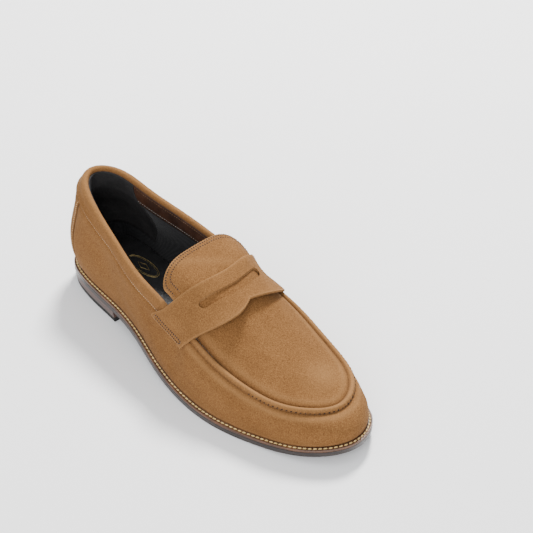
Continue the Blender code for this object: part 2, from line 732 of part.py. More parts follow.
for old in list(bpy.data.objects):
    bpy.data.objects.remove(old)
LOAFER = bpy.data.collections.new("penny_loafer")
CUTTERS = bpy.data.collections.new("cutters")
bpy.context.scene.collection.children.link(LOAFER)
bpy.context.scene.collection.children.link(CUTTERS)
MATS = make_materials()
make_bottom(MATS)
make_vamp(MATS["suede"])
make_backstay(MATS["suede"])
make_collar(MATS)
make_linings(MATS)
make_plug(MATS)
make_ridge(MATS["suede"])
make_tongue(MATS)
make_strap(MATS["suede"])
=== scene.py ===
"""Looks of the penny loafer: fine suede, lining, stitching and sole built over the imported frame.

Lengths are millimetres in the frame's directions until a mesh is made: toe -Y, heel +Y, lateral -X.
"""
import math

import bmesh
import bpy
import numpy as np
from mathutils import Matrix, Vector
from mathutils.bvhtree import BVHTree


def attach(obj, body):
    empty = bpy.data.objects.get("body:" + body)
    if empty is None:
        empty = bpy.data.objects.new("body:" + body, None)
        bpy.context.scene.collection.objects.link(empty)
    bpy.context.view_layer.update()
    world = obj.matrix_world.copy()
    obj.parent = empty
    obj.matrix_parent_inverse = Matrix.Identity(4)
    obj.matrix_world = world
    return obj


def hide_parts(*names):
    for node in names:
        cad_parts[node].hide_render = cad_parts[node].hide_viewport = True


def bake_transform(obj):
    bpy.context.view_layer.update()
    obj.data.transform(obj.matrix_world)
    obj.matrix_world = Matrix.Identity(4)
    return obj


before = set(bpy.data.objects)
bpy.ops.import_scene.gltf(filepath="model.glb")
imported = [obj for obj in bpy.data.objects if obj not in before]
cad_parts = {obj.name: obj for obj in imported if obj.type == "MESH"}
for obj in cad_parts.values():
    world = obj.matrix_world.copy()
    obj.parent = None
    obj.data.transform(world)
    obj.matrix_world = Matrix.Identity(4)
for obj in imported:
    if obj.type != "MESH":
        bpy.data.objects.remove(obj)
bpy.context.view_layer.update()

MM = 0.001
GAP = 0.3
CENTRE = (3.25, -2.2)  # shift from the shape tables to the frame

# ---- shape of the last
# Sole edge (x, y) and, beside each point, the top line (x, y, z) that its section ends on.
STATIONS = (
    (0, 150, 0, 140.5, 88.5),
    (-21.5, 143.5, -12.5, 131, 86.5),
    (-32, 120, -20, 107, 78.5),
    (-36, 80, -26, 78, 71),
    (-41, 44, -31.5, 47, 63.5),
    (-49.5, 8, -34, 14, 58.5),
    (-54, -28, -36, -22, 48.5),
    (-52.5, -61, -36, -51, 40.5),
    (-42.5, -96, -31.5, -83, 35.5),
    (-26, -132, -19.5, -112, 34),
    (1, -150, 3.5, -127.5, 33.5),
    (28.5, -137.5, 23.5, -118, 34.5),
    (41.5, -105, 34, -97, 36),
    (47.5, -70, 38, -69, 40.5),
    (45.5, -36, 39, -38, 48.5),
    (36, -3, 35, -3, 57),
    (30, 31, 34, 26, 62),
    (29.5, 68, 29, 64, 70),
    (31.5, 115, 20, 107, 79.5),
    (22.5, 143, 12.5, 131, 87),
)
HEEL_BREAST_Y, HEEL_RISE = 75.5, 10.3
TREAD_FROM_Y, TREAD_TO_Y = -80, -40
TOE_SPRING, TOE_END_Y = 9.3, -150
OUTSOLE_T, WELT_T, LIFT_T, TOP_PIECE_T = 3.3, 2.2, 2.9, 3.6
HEEL_TAPER = 1.3
FOOT_Z = OUTSOLE_T + WELT_T + 2 * GAP
UPPER_INSET, BOARD_INSET = 3.4, 8.0
BOARD_T, FOAM_T, SOCK_T = 2.4, 2.0, 1.2
SUEDE_T, STIFF_T, LINING_T, STRAP_T = 1.4, 0.7, 0.9, 1.8
RIM_OUT, RIM_DOWN = 5.5, 9.5
HEEL_PAD, HEEL_SWELL = 4.0, 7.5
RIDGE_OUT, RIDGE_DOWN = 3.9, 1.8
OPENING_END_Y = -3.0


def cubic(knots, values, at, closed=False):
    """Cubic spline with continuous curvature. A closed one has one more knot than values."""
    knots, values, at = (np.asarray(a, float) for a in (knots, values, at))
    step, n = np.diff(knots), len(values)
    rows, right = np.eye(n), np.zeros_like(values)
    for i in range(0 if closed else 1, n if closed else n - 1):
        before, after = step[i - 1], step[i]
        rows[i] = 0
        rows[i, i - 1] += before
        rows[i, i] += 2 * (before + after)
        rows[i, (i + 1) % n] += after
        ahead, behind = values[(i + 1) % n] - values[i], values[i] - values[i - 1]
        right[i] = 6 * (ahead / after - behind / before)
    bend = np.linalg.solve(rows, right)
    if closed:
        values, bend = np.vstack([values, values[:1]]), np.vstack([bend, bend[:1]])
        at = knots[0] + (at - knots[0]) % (knots[-1] - knots[0])
    i = np.clip(np.searchsorted(knots, at, "right") - 1, 0, len(step) - 1)
    a = ((knots[i + 1] - at) / step[i])[..., None]
    b, h = 1 - a, step[i][..., None]
    curve = (a**3 - a) * bend[i] + (b**3 - b) * bend[i + 1]
    return a * values[i] + b * values[i + 1] + curve * h * h / 6


def smooth(x, start, end):
    s = np.clip((x - start) / (end - start), 0, 1)
    return s * s * (3 - 2 * s)


def bell(x, width):
    return np.exp(-((x / width) ** 2))


def unit(v):
    return v / (np.linalg.norm(v, axis=-1, keepdims=True) + 1e-12)


def travel(line):
    """Distance gone along a polyline at each of its points."""
    return np.concatenate([[0], np.cumsum(np.linalg.norm(np.diff(line, axis=0), axis=1))])


def between(at, knots, points):
    """Points read off a polyline whose corners lie at the knots."""
    return np.stack([np.interp(at, knots, points[:, k]) for k in range(3)], -1)


TABLE = np.array(STATIONS, float)
KNOTS = travel(np.vstack([TABLE, TABLE[:1]])[:, :2])
GIRTH = KNOTS[-1]
KNOTS = KNOTS / GIRTH
U_TOE = KNOTS[10]


def edge(u):
    return cubic(KNOTS, TABLE[:, :2], u, closed=True)


def outward(u):
    """Horizontal outward direction of the sole edge, as (x, y, 0)."""
    d = edge(u + 1e-4) - edge(u - 1e-4)
    return unit(np.stack([d[..., 1], -d[..., 0], np.zeros(d.shape[:-1])], -1))


def top_line(u):
    return cubic(KNOTS, TABLE[:, 2:], u, closed=True)


def rear_share(u):
    """1 along the foot opening, 0 along the apron seam."""
    return smooth(top_line(u)[..., 1], -24, -8)


def from_heel(u):
    """Share of the girth between a place and the back of the heel."""
    return np.abs((u + 0.5) % 1 - 0.5)


def heel_share(u):
    """1 round the back of the heel."""
    return 1 - smooth(from_heel(u), 0.02, 0.13)


def rim_out(u):
    return RIM_OUT + HEEL_PAD * heel_share(u)


def floor_z(y):
    """Height of the outsole's underside."""
    waist = HEEL_RISE * smooth(y, TREAD_TO_Y, HEEL_BREAST_Y)
    toe = np.clip((TREAD_FROM_Y - y) / (TREAD_FROM_Y - TOE_END_Y), 0, 1.05)
    return waist + TOE_SPRING * toe**1.8


def up(z):
    return np.stack([0 * z, 0 * z, z], -1)


def pair(u, t):
    return np.broadcast_arrays(u, t)


def wall(u, t):
    """Outer surface of the upper's wall: t is 0 at the welt and 1 at the top edge."""
    u, t = pair(u, t)
    n, e, top, rear = outward(u), edge(u), top_line(u), rear_share(u)
    foot = np.concatenate([e, (floor_z(e[..., 1]) + FOOT_Z)[..., None]], -1)
    foot = foot - n * UPPER_INSET
    out = RIDGE_OUT + (rim_out(u) - RIDGE_OUT) * rear
    swell = HEEL_SWELL * heel_share(u)
    down = RIDGE_DOWN + (RIM_DOWN - RIDGE_DOWN) * rear
    head = top + n * out[..., None] - up(down)
    height = head[..., 2] - foot[..., 2]
    inset = ((foot - head) * n).sum(-1)
    low = foot + n * (2.4 + rear + swell + 0.45 * np.maximum(0, -inset))[..., None]
    low = low + up(height * (0.45 - 0.12 * rear))
    high = head + n * (np.maximum(1.4, 0.62 * inset) + 0.4 * swell)[..., None]
    high = high - up(height * (0.13 + 0.25 * rear))
    t = t[..., None]
    s = 1 - t
    return s**3 * foot + 3 * t * s**2 * low + 3 * t * t * s * high + t**3 * head


def wall_normal(u, t):
    u, t = pair(u, t)
    along = wall(u + 2e-3, t) - wall(u - 2e-3, t)
    rise = wall(u, np.minimum(t + 0.01, 1)) - wall(u, np.maximum(t - 0.01, 0))
    n = np.cross(along, rise)
    n[..., 2] *= smooth(t, 0, 0.2)
    return unit(n)


def inside_wall(u, t, depth):
    return wall(u, t) - wall_normal(u, t) * depth[..., None]


def from_top(u, t):
    """Distance in mm below the wall's top edge."""
    u, t = pair(u, t)
    return np.linalg.norm(wall(u, t) - wall(u, 1.0 + 0 * t), axis=-1)


# ---- materials


class Look:
    """A material being made: its nodes, its shader and the piece's own coordinates."""

    def __init__(self, name, **settings):
        self.mat = bpy.data.materials.new(name)
        self.mat.use_nodes = True
        self.tree = self.mat.node_tree
        self.shader = self.tree.nodes["Principled BSDF"]
        for key, value in settings.items():
            self.shader.inputs[key.replace("_", " ")].default_value = value
        self.place = self.tree.nodes.new("ShaderNodeTexCoord").outputs["Object"]

    def feed(self, socket, value):
        """A value on the socket, or a link from another node's output."""
        if isinstance(value, bpy.types.NodeSocket):
            self.tree.links.new(value, socket)
        else:
            socket.default_value = value

    def node(self, kind, **inputs):
        made = self.tree.nodes.new(kind)
        for name, value in inputs.items():
            self.feed(made.inputs[name], value)
        return made

    def stretched(self, scale, turn=(0, 0, 0)):
        made = self.node("ShaderNodeMapping", Vector=self.place, Scale=scale, Rotation=turn)
        return made.outputs["Vector"]

    def noise(self, scale, detail=4.0, rough=0.55, place=None):
        made = self.node("ShaderNodeTexNoise", Vector=place or self.place, Scale=scale, Detail=detail,
                         Roughness=rough)
        return made.outputs["Fac"]

    def wave(self, turn, **inputs):
        made = self.node("ShaderNodeTexWave", Vector=self.stretched((1, 1, 1), turn), **inputs)
        return made.outputs["Fac"]

    def cells(self, **inputs):
        made = self.node("ShaderNodeTexVoronoi", Vector=self.place, **inputs)
        return made.outputs["Distance"]

    def mark(self, name):
        """A point attribute of the mesh."""
        made = self.node("ShaderNodeAttribute")
        made.attribute_name = name
        return made.outputs["Fac"]

    def ramp(self, fac, *stops):
        made = self.node("ShaderNodeValToRGB", Fac=fac)
        for i, (place, colour) in enumerate(stops):
            stop = made.color_ramp.elements[i]
            stop.position, stop.color = place, (*colour, 1)
        return made.outputs["Color"]

    def mix(self, fac, a, b, how="MIX"):
        made = self.node("ShaderNodeMix")
        made.data_type, made.blend_type = "RGBA", how
        self.feed(made.inputs[0], fac)
        for socket, value in ((made.inputs[6], a), (made.inputs[7], b)):
            self.feed(socket, (*value, 1) if isinstance(value, tuple) else value)
        return made.outputs[2]

    def times(self, a, b):
        return self.mix(1.0, a, b, "MULTIPLY")

    def product(self, a, b):
        """Two single values multiplied."""
        made = self.node("ShaderNodeMath")
        made.operation = "MULTIPLY"
        self.feed(made.inputs[0], a)
        self.feed(made.inputs[1], b)
        return made.outputs[0]

    def base(self, colour):
        self.feed(self.shader.inputs["Base Color"], colour)

    def gloss(self, fac, low, high, end=0.7):
        """Roughness between two values."""
        self.feed(self.shader.inputs["Roughness"], self.ramp(fac, (0.3, (low,) * 3), (end, (high,) * 3)))

    def bump(self, height, distance, strength, under=None):
        made = self.node("ShaderNodeBump", Height=height, Distance=distance, Strength=strength)
        if under is not None:
            self.feed(made.inputs["Normal"], under)
        self.feed(self.shader.inputs["Normal"], made.outputs["Normal"])
        return made.outputs["Normal"]


# Suede's painted highlight colour for edges and tops, and its painted shade colour for creases and
# valleys.
SUEDE_PAINTED_HIGHLIGHT, SUEDE_PAINTED_SHADE = (0.32, 0.165, 0.064), (0.045, 0.021, 0.009)


def suede(name):
    """Brushed nap: soft patches where it lies another way, fine fuzz, painted highlight on edges, painted
    shade in creases.
    """
    m = Look(name, Roughness=0.95, Sheen_Weight=0.05, Sheen_Roughness=0.5,
             Sheen_Tint=(1.0, 0.82, 0.55, 1), Specular_IOR_Level=0.06)
    patches = m.noise(26.0, 3.0)
    strokes = m.noise(95.0, 3.0, place=m.stretched((1.0, 0.45, 1.6), (0.2, 0.1, 0.6)))
    fuzz = m.noise(1250.0, 3.0, 0.7)
    grit = m.noise(640.0, 2.0, 0.6)
    tone = m.ramp(patches, (0.36, (0.158, 0.071, 0.0235)), (0.64, (0.176, 0.081, 0.0275)))
    brushed = m.ramp(strokes, (0.35, (0.14, 0.062, 0.02)), (0.68, (0.225, 0.108, 0.038)))
    speck = m.ramp(fuzz, (0.33, (0.58, 0.56, 0.52)), (0.68, (1.36, 1.38, 1.42)))
    grain = m.ramp(grit, (0.34, (0.95, 0.945, 0.94)), (0.66, (1.04, 1.045, 1.05)))
    dusted = m.times(m.times(m.mix(0.18, tone, brushed), speck), grain)
    # Painted highlight: paler where the point mark is set, along edges, rims and tops.
    highlighted = m.mix(m.mark("painted_highlight"), dusted, m.mix(0.35, SUEDE_PAINTED_HIGHLIGHT, dusted))
    # Painted shade: much darker where the point mark is set, in creases, seams and valleys.
    m.base(m.mix(m.mark("crease"), highlighted, m.mix(0.15, SUEDE_PAINTED_SHADE, dusted)))
    m.bump(fuzz, 0.0001, 0.5, m.bump(grit, 0.0002, 0.35))
    return m.mat


def raw_edge(name):
    """Cut edge of the suede: paler, fibrous and dry."""
    m = Look(name, Roughness=0.95, Specular_IOR_Level=0.05)
    fibre = m.noise(900.0, 4.0, place=m.stretched((1.0, 1.0, 3.5)))
    m.base(m.ramp(fibre, (0.3, (0.12, 0.056, 0.02)), (0.72, (0.3, 0.155, 0.06))))
    m.bump(fibre, 0.0003, 0.6)
    return m.mat


def leather(name, deep, light, rough=0.5, pore=520.0):
    """Smooth leather with fine pores, soft creases and a little scuffing."""
    m = Look(name, Specular_IOR_Level=0.35)
    folds = m.noise(60.0)
    m.base(m.ramp(folds, (0.34, deep), (0.7, light)))
    m.gloss(m.noise(210.0), rough - 0.1, rough + 0.14, 0.75)
    m.bump(m.cells(Scale=pore, Randomness=0.9), 0.00025, 0.5, m.bump(folds, 0.0006, 0.35))
    return m.mat


def ribbed_cloth(name):
    """Black textile lining with a fine twill rib."""
    m = Look(name, Roughness=0.75, Sheen_Weight=0.1, Specular_IOR_Level=0.25)
    weave = m.product(m.wave((0, 0.5, 0.7), Scale=330.0, Distortion=0.6, Detail=1.0),
                      m.wave((0.4, 0, -0.9), Scale=420.0, Distortion=0.4, Detail=1.0))
    tone = m.ramp(weave, (0.0, (0.0045, 0.0045, 0.005)), (1.0, (0.02, 0.02, 0.022)))
    cloud = m.ramp(m.noise(70.0), (0.3, (0.75,) * 3), (0.7, (1.35, 1.33, 1.3)))
    m.base(m.times(tone, cloud))
    m.bump(weave, 0.0002, 0.5)
    return m.mat


EDGE_TINT = ((0.3, (0.7, 0.7, 0.72)), (0.7, (1.25, 1.22, 1.2)))
LIFT_TINT = ((0.35, (0.55, 0.52, 0.55)), (0.7, (1.2, 1.05, 1.0)))


def dressed(name, deep, light, gloss, stretch=(0.25, 0.25, 3.0), streaks=(220.0, 4.0),
            patches=(45.0, 3.0), tint=EDGE_TINT, coat=0.2, relief=(0.00015, 0.4)):
    """A leather edge dressed and buffed along its length, or thin pressed layers burnished."""
    m = Look(name, Specular_IOR_Level=0.5, Coat_Weight=coat, Coat_Roughness=0.3)
    streak = m.noise(*streaks, place=m.stretched(stretch))
    patch = m.noise(*patches)
    m.base(m.times(m.ramp(streak, (0.3, deep), (0.72, light)), m.ramp(patch, *tint)))
    m.gloss(patch, *gloss)
    m.bump(streak, *relief)
    return m.mat


def thread(name, deep, light):
    """Twisted thread."""
    m = Look(name, Roughness=0.7, Sheen_Weight=0.25, Specular_IOR_Level=0.3)
    twist = m.wave((0.5, 0.4, 0.6), Scale=900.0, Distortion=1.2)
    m.base(m.ramp(m.product(twist, m.noise(300.0)), (0.05, deep), (0.5, light)))
    m.bump(twist, 0.0001, 0.6)
    return m.mat


def granular(name, deep, light, scale, rough=0.9):
    """Pressed board, cork or foam."""
    m = Look(name, Roughness=rough, Specular_IOR_Level=0.2)
    grains = m.cells(Scale=scale)
    tint = m.ramp(m.noise(scale / 3), (0.3, (0.85,) * 3), (0.7, (1.1,) * 3))
    m.base(m.times(m.ramp(grains, (0.1, light), (0.75, deep)), tint))
    m.bump(grains, 0.0003, 0.5)
    return m.mat


def metal(name, colour, rough):
    m = Look(name, Metallic=1.0, Specular_IOR_Level=0.5)
    brushed = m.noise(600.0, 3.0, place=m.stretched((1.0, 0.05, 1.0)))
    m.base(m.ramp(brushed, (0.3, tuple(c * 0.8 for c in colour)), (0.7, colour)))
    m.gloss(brushed, rough, rough + 0.15)
    m.bump(brushed, 0.00005, 0.4)
    return m.mat


MATS = {
    "suede": suede("suede"),
    "raw": raw_edge("suede_cut_edge"),
    "sole": dressed("sole_edge", (0.009, 0.006, 0.005), (0.032, 0.021, 0.017), (0.26, 0.48)),
    "welt": dressed("welt_leather", (0.04, 0.016, 0.007), (0.135, 0.056, 0.022), (0.35, 0.57)),
    "stack": dressed("stacked_leather", (0.03, 0.014, 0.009), (0.125, 0.055, 0.032), (0.3, 0.48),
                     (0.06, 0.06, 9.0), (130.0, 3.0), (55.0, 4.0), LIFT_TINT, 0.25, (0.0002, 0.5)),
    "rubber": granular("heel_rubber", (0.01,) * 3, (0.026, 0.025, 0.025), 700.0, 0.6),
    "cork": granular("cork_filler", (0.2, 0.11, 0.05), (0.5, 0.33, 0.18), 420.0),
    "board": granular("leatherboard", (0.3, 0.22, 0.14), (0.58, 0.47, 0.33), 900.0),
    "foam": granular("padding_foam", (0.5, 0.47, 0.4), (0.8, 0.77, 0.7), 1300.0),
    "black": leather("black_lining", (0.006, 0.0058, 0.006), (0.0165, 0.016, 0.0165), 0.55, 760.0),
    "cloth": ribbed_cloth("black_ribbed_lining"),
    "grip": leather("heel_grip_nap", (0.0075, 0.007, 0.0072), (0.024, 0.022, 0.022), 0.8, 1100.0),
    "lining": leather("brown_lining", (0.05, 0.027, 0.016), (0.12, 0.07, 0.045), 0.65, 700.0),
    "facing": leather("facing_leather", (0.022, 0.009, 0.005), (0.062, 0.026, 0.014), 0.5, 640.0),
    "steel": metal("steel_strip", (0.6, 0.6, 0.62), 0.3),
    "gold": metal("gilt_print", (0.62, 0.47, 0.2), 0.35),
    "tan_thread": thread("tan_thread", (0.34, 0.19, 0.085), (0.7, 0.47, 0.25)),
    "brown_thread": thread("brown_thread", (0.085, 0.04, 0.014), (0.2, 0.098, 0.036)),
    "cream_thread": thread("cream_thread", (0.42, 0.25, 0.07), (0.88, 0.66, 0.28)),
    "grey_thread": thread("grey_thread", (0.14, 0.13, 0.12), (0.4, 0.38, 0.35)),
    # Near-black painted shade of the needle holes, also used for the ridge's gathered stitches.
    "hole_shade": leather("needle_hole_shade", (0.007, 0.003, 0.002), (0.018, 0.009, 0.005), 0.8),
}


# ---- meshes


def finish_piece(obj, slot, *nodes, body="shoe"):
    """Smooth shading, the body that carries the piece and the nodes it replaces. slot is not used."""
    obj.data.shade_smooth()
    if body:
        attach(obj, body)
    if nodes:
        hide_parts(*nodes)
    return obj


def put(name, data):
    obj = bpy.data.objects.new(name, data)
    bpy.context.scene.collection.objects.link(obj)
    return obj


def mesh_object(name, points, faces, mats, marks=(), paints=None):
    """A mesh from millimetre points. marks are the painted highlight and painted shade of each point,
    paints the faces' material indices."""
    mesh = bpy.data.meshes.new(name)
    places = (np.asarray(points, float) + [*CENTRE, 0]) * MM
    mesh.from_pydata(places.tolist(), [], faces)
    for mat in mats.split():
        mesh.materials.append(MATS[mat])
    if paints is not None:
        mesh.polygons.foreach_set("material_index", np.asarray(paints, np.int32))
    # Point attributes that the suede reads: its painted highlight and its painted shade.
    for key, values in zip(("painted_highlight", "crease"), marks):
        layer = mesh.attributes.new(key, "FLOAT", "POINT")
        layer.data.foreach_set("value", np.clip(values, 0, 1).astype(np.float32).ravel())
    bm = bmesh.new()
    bm.from_mesh(mesh)
    bmesh.ops.remove_doubles(bm, verts=bm.verts, dist=1e-6)
    bmesh.ops.recalc_face_normals(bm, faces=bm.faces)
    bm.to_mesh(mesh)
    bm.free()
    return put(name, mesh)


def grid_faces(rows, cols, start=0):
    i = np.arange(rows - 1)[:, None]
    j = np.arange(cols - 1)[None, :]
    a = start + i * cols + j
    return np.stack([a, a + cols, a + cols + 1, a + 1], -1).reshape(-1, 4).tolist()


def slab(name, outer, inner, mats, marks=(), rim=0):
    """A closed sheet between two grids of one layout. rim is the material index of its cut edges."""
    rows, cols = outer.shape[:2]
    half = rows * cols
    faces = grid_faces(rows, cols) + [f[::-1] for f in grid_faces(rows, cols, half)]
    flat = len(faces)
    for i in range(rows - 1):
        a, b = i * cols, (i + 1) * cols
        faces.append((b, a, a + half, b + half))
        a, b = a + cols - 1, b + cols - 1
        faces.append((a, b, b + half, a + half))
    for j in range(cols - 1):
        faces.append((j, j + 1, j + 1 + half, j + half))
        a = (rows - 1) * cols + j
        faces.append((a + 1, a, a + half, a + 1 + half))
    paints = np.zeros(len(faces), int)
    paints[flat:] = rim
    both = [np.tile(np.ravel(v), 2) for v in marks]
    points = np.concatenate([outer.reshape(-1, 3), inner.reshape(-1, 3)])
    return mesh_object(name, points, faces, mats, both, paints)


def grid_normals(grid):
    """Unit normals of a grid, from its own directions."""
    return unit(np.cross(np.gradient(grid, axis=0), np.gradient(grid, axis=1)))


def turned_up(n):
    return -n if n[..., 2].mean() < 0 else n


def tube_faces(count, around, closed=False):
    """Faces of a tube through rings, capped at both ends unless it is a loop."""
    i = np.arange(count if closed else count - 1)[:, None]
    j = np.arange(around)[None, :]
    k, nxt = (j + 1) % around, (i + 1) % count
    faces = np.stack([i * around + j, i * around + k, nxt * around + k, nxt * around + j], -1)
    faces = faces.reshape(-1, 4).tolist()
    if not closed:
        faces.append(list(range(around)))
        faces.append(list(range((count - 1) * around, count * around))[::-1])
    return faces


def swept(name, rings, mats, marks=(), closed=False):
    rings = np.asarray(rings)
    faces = tube_faces(*rings.shape[:2], closed)
    return mesh_object(name, rings.reshape(-1, 3), faces, mats, marks)


def section_curve(section, count):
    """(places, outwards, up) of count points on the closed spline through a section's corners."""
    knots = np.arange(len(section) + 1)
    at = np.linspace(0, len(section), count + 1)[:-1]
    return at, *cubic(knots, np.array(section, float), at, closed=True).T


def beside_top(u, out, rise):
    """Rings of points beside the top line."""
    return top_line(u)[:, None] + outward(u)[:, None] * out[..., None] + up(rise)


# ---- stitching

LOOP_STEPS, LOOP_AROUND = 7, 8  # rings of a thread loop and points of a ring


def spaced(line, pitch, closed=False):
    """Points and directions every pitch mm along a polyline, with each point's share of the way."""
    if closed:
        line = np.vstack([line, line[:1]])
    far = travel(line)
    count = max(2, round(far[-1] / pitch))
    at = (np.arange(count) + 0.5) / count * far[-1]
    step = 0.25 * pitch
    way = between(at + step, far, line) - between(at - step, far, line)
    return between(at, far, line), unit(way), at / far[-1]


def spread(values, share):
    return between(share * (len(values) - 1), np.arange(len(values)), values)


def stitches(name, line, normals, pitch, length, radius, mat, lift=0.0, slant=0.0, closed=False):
    """A row of short thread loops: each rises from the surface and dives back into it."""
    place, way, share = spaced(line, pitch, closed)
    n = unit(spread(normals, share))
    side = unit(np.cross(n, way))
    way = way * math.cos(slant) + side * math.sin(slant)
    side = np.cross(n, way)
    s = np.linspace(-1, 1, LOOP_STEPS)
    fat = radius * np.sqrt(np.clip(1 - np.abs(s) ** 3.5, 0.06, 1))
    rise = lift + radius * 0.9 * (1 - s**4) - radius * 0.9
    turn = np.arange(LOOP_AROUND) / LOOP_AROUND * 2 * math.pi
    c = place[:, None] + way[:, None] * (s * length / 2)[None, :, None] + n[:, None] * rise[None, :, None]
    ring = side[:, None, None] * np.cos(turn)[None, None, :, None]
    ring = ring + n[:, None, None] * np.sin(turn)[None, None, :, None]
    points = c[:, :, None] + ring * fat[None, :, None, None]
    tube = tube_faces(LOOP_STEPS, LOOP_AROUND)
    starts = range(0, len(place) * LOOP_STEPS * LOOP_AROUND, LOOP_STEPS * LOOP_AROUND)
    faces = [[v + start for v in f] for start in starts for f in tube]
    return mesh_object(name, points.reshape(-1, 3), faces, mat)


def sewn(name, line, normals, pitch, mat, slot, radius, hole_shade, body="shoe", closed=False, lift=0.0):
    """A machine-sewn row: thread loops with a near-black loop of painted shade for the needle hole
    between each two.
    """
    thread_row = stitches(name, line, normals, pitch, pitch * 0.72, radius, mat, lift, closed=closed)
    place, _, share = spaced(line, pitch, closed)
    middle = (place[:-1] + place[1:]) / 2
    n = spread(normals, (share[:-1] + share[1:]) / 2)
    # Painted shade of the needle holes: near-black loops sunk into the surface.
    hole_shades = stitches(name + "_holes", middle, n, pitch, hole_shade * 1.9, hole_shade, "hole_shade", lift - hole_shade * 0.55)
    for row in (thread_row, hole_shades):
        finish_piece(row, slot, body=body)
    return thread_row, hole_shades


# ---- upper wall

WALL_ROWS, WALL_COLS, WALL_EASE = 440, 46, 0.55
WALL_LOW = -0.012  # where the suede ends, tucked in below the welt's surface
BACKSTAY_TOP, BACKSTAY_FOOT = 0.0435, 0.065
SEAM_HALF_GAP = 0.12
COLLAR_ROW = 0.9  # depth of the valley that the collar's stitch row pulls into the padding


def heel_seam(t):
    return BACKSTAY_TOP + (BACKSTAY_FOOT - BACKSTAY_TOP) * (1 - t) ** 2.2


def seam_gap(u, t):
    """Distance in mm in front of the heel seam, negative on the backstay."""
    return (from_heel(u) - heel_seam(t)) * GIRTH


def skin(u, t):
    """The wall with its valleys: along the collar's stitch row, the apron seam and the heel seam."""
    far, rear = from_top(u, t), rear_share(u)
    valley = rear * COLLAR_ROW * bell(far, 1.5) + (1 - rear) * 0.6 * bell(far, 2.6)
    valley = valley + 0.75 * bell(seam_gap(u, t), 0.9)
    swell = 0.35 * bell(far - 5.5, 3.2) * rear
    return wall(u, t) + wall_normal(u, t) * (swell - valley - vamp_creases(u, t))[..., None]


def vamp_creases(u, t):
    """Faint waves of the soft quarter, so that light breaks over it as over real suede."""
    u, t = pair(u, t)
    phase = 2 * math.pi * (u * 7 + 0.6 * t)
    belly = np.sin(math.pi * np.clip(t, 0, 1))
    return 0.22 * belly * (np.sin(phase) + 0.5 * np.sin(2.3 * phase + 5 * t))


def rows_of(start, end, count, ease=0.0):
    """Places between two limits, closer together at both ends as ease goes from 0 to 1."""
    s = np.linspace(0, 1, count)
    return start + (end - start) * (s - ease * np.sin(2 * math.pi * s) / (2 * math.pi))


def wall_sheet(name, u, t, painted_highlight, crease, cad):
    outer = skin(u, t)
    inner = outer - wall_normal(u, np.clip(t, 0, 1)) * SUEDE_T
    finish_piece(slab(name, outer, inner, "suede", (painted_highlight, crease)), "suede", cad)


def make_wall():
    t = rows_of(WALL_LOW, 1, WALL_COLS, WALL_EASE)[None, :]
    seam = heel_seam(t) + SEAM_HALF_GAP / GIRTH
    u = seam + (1 - 2 * seam) * rows_of(0, 1, WALL_ROWS, WALL_EASE)[:, None]
    t = np.broadcast_to(t, u.shape)
    far, rear = from_top(u, t), rear_share(u)
    # Painted highlight: paler beside the apron seam and in a band just above the welt.
    painted_highlight = 0.55 * bell(far - 4.5, 2.5) * (1 - rear) + 0.30 * bell((t - 0.04) * 40, 1.6)
    # Painted shade: darker in the valleys along the apron seam, the collar's stitch row and the heel
    # seam, and at the wall's foot by the welt.
    crease = 0.5 * bell(far, 1.1) * (1 - rear) + 0.35 * bell(far, 0.8) * rear
    crease = crease + 0.95 * bell(seam_gap(u, t), 0.8) + 0.45 * smooth(0.03 - t, 0, 0.03)
    wall_sheet("vamp_suede", u, t, painted_highlight, crease, "vamp")


def make_backstay():
    t = rows_of(WALL_LOW, 1, WALL_COLS, WALL_EASE)[None, :]
    u = (heel_seam(t) - SEAM_HALF_GAP / GIRTH) * np.linspace(-1, 1, 41)[:, None]
    t = np.broadcast_to(t, u.shape)
    inside = -seam_gap(u, t)
    # Painted shade along the heel seams and under the top edge; the next line paints a highlight in a
    # band just inside each seam.
    crease = 0.95 * bell(inside, 0.8) + 0.35 * bell(from_top(u, t), 0.8)
    wall_sheet("backstay_suede", u, t, 0.35 * bell(inside - 2.5, 1.2), crease, "heel_backstay")
    for side, name in ((1, "lateral"), (-1, "medial")):
        at = rows_of(0.02, 0.985, 90)
        at_u = side * (heel_seam(at) - 1.7 / GIRTH)
        sewn(f"backstay_stitches_{name}", skin(at_u, at), wall_normal(at_u, at), 2.0,
             "tan_thread", "suede", 0.24, 0.3)


def opening_us():
    u = np.linspace(0, 1, 4001)
    inside = u[top_line(u)[:, 1] < OPENING_END_Y]
    return inside[0], inside[-1]


LATERAL_END, MEDIAL_END = opening_us()
COLLAR_SECTION = (
    (4.0, -10.6), (4.75, -9.5), (5.75, -8.5), (6.15, -6.6), (6.05, -4.6), (5.55, -2.5), (4.8, -0.9),
    (3.9, 0.15), (2.9, 0.7), (1.9, 0.75), (0.95, 0.35), (0.2, -0.5), (-0.15, -1.6), (-0.15, -2.8),
    (0.35, -3.7), (1.3, -3.9), (2.4, -3.0), (3.3, -4.0), (3.7, -7.0), (3.5, -10.0),
)
COLLAR_RIM = 9  # index of the section's highest point


def padded_share(b):
    """How much of the heel's extra padding shows at a height b in the collar: little near the rim."""
    return 0.2 + 0.8 * smooth(-b, 3.5, 9)


def heel_widening(u):
    return ((rim_out(u) - RIM_OUT) / RIM_OUT)[:, None]


def padded_curve(u, section, count):
    """(places, outwards, up) of a section along the foot opening, widened by the heel's padding."""
    at, a, b = section_curve(section, count)
    wider = heel_widening(u)
    return at, a * (1 + wider * np.clip(a / RIM_OUT, 0, 1) * padded_share(b)), b


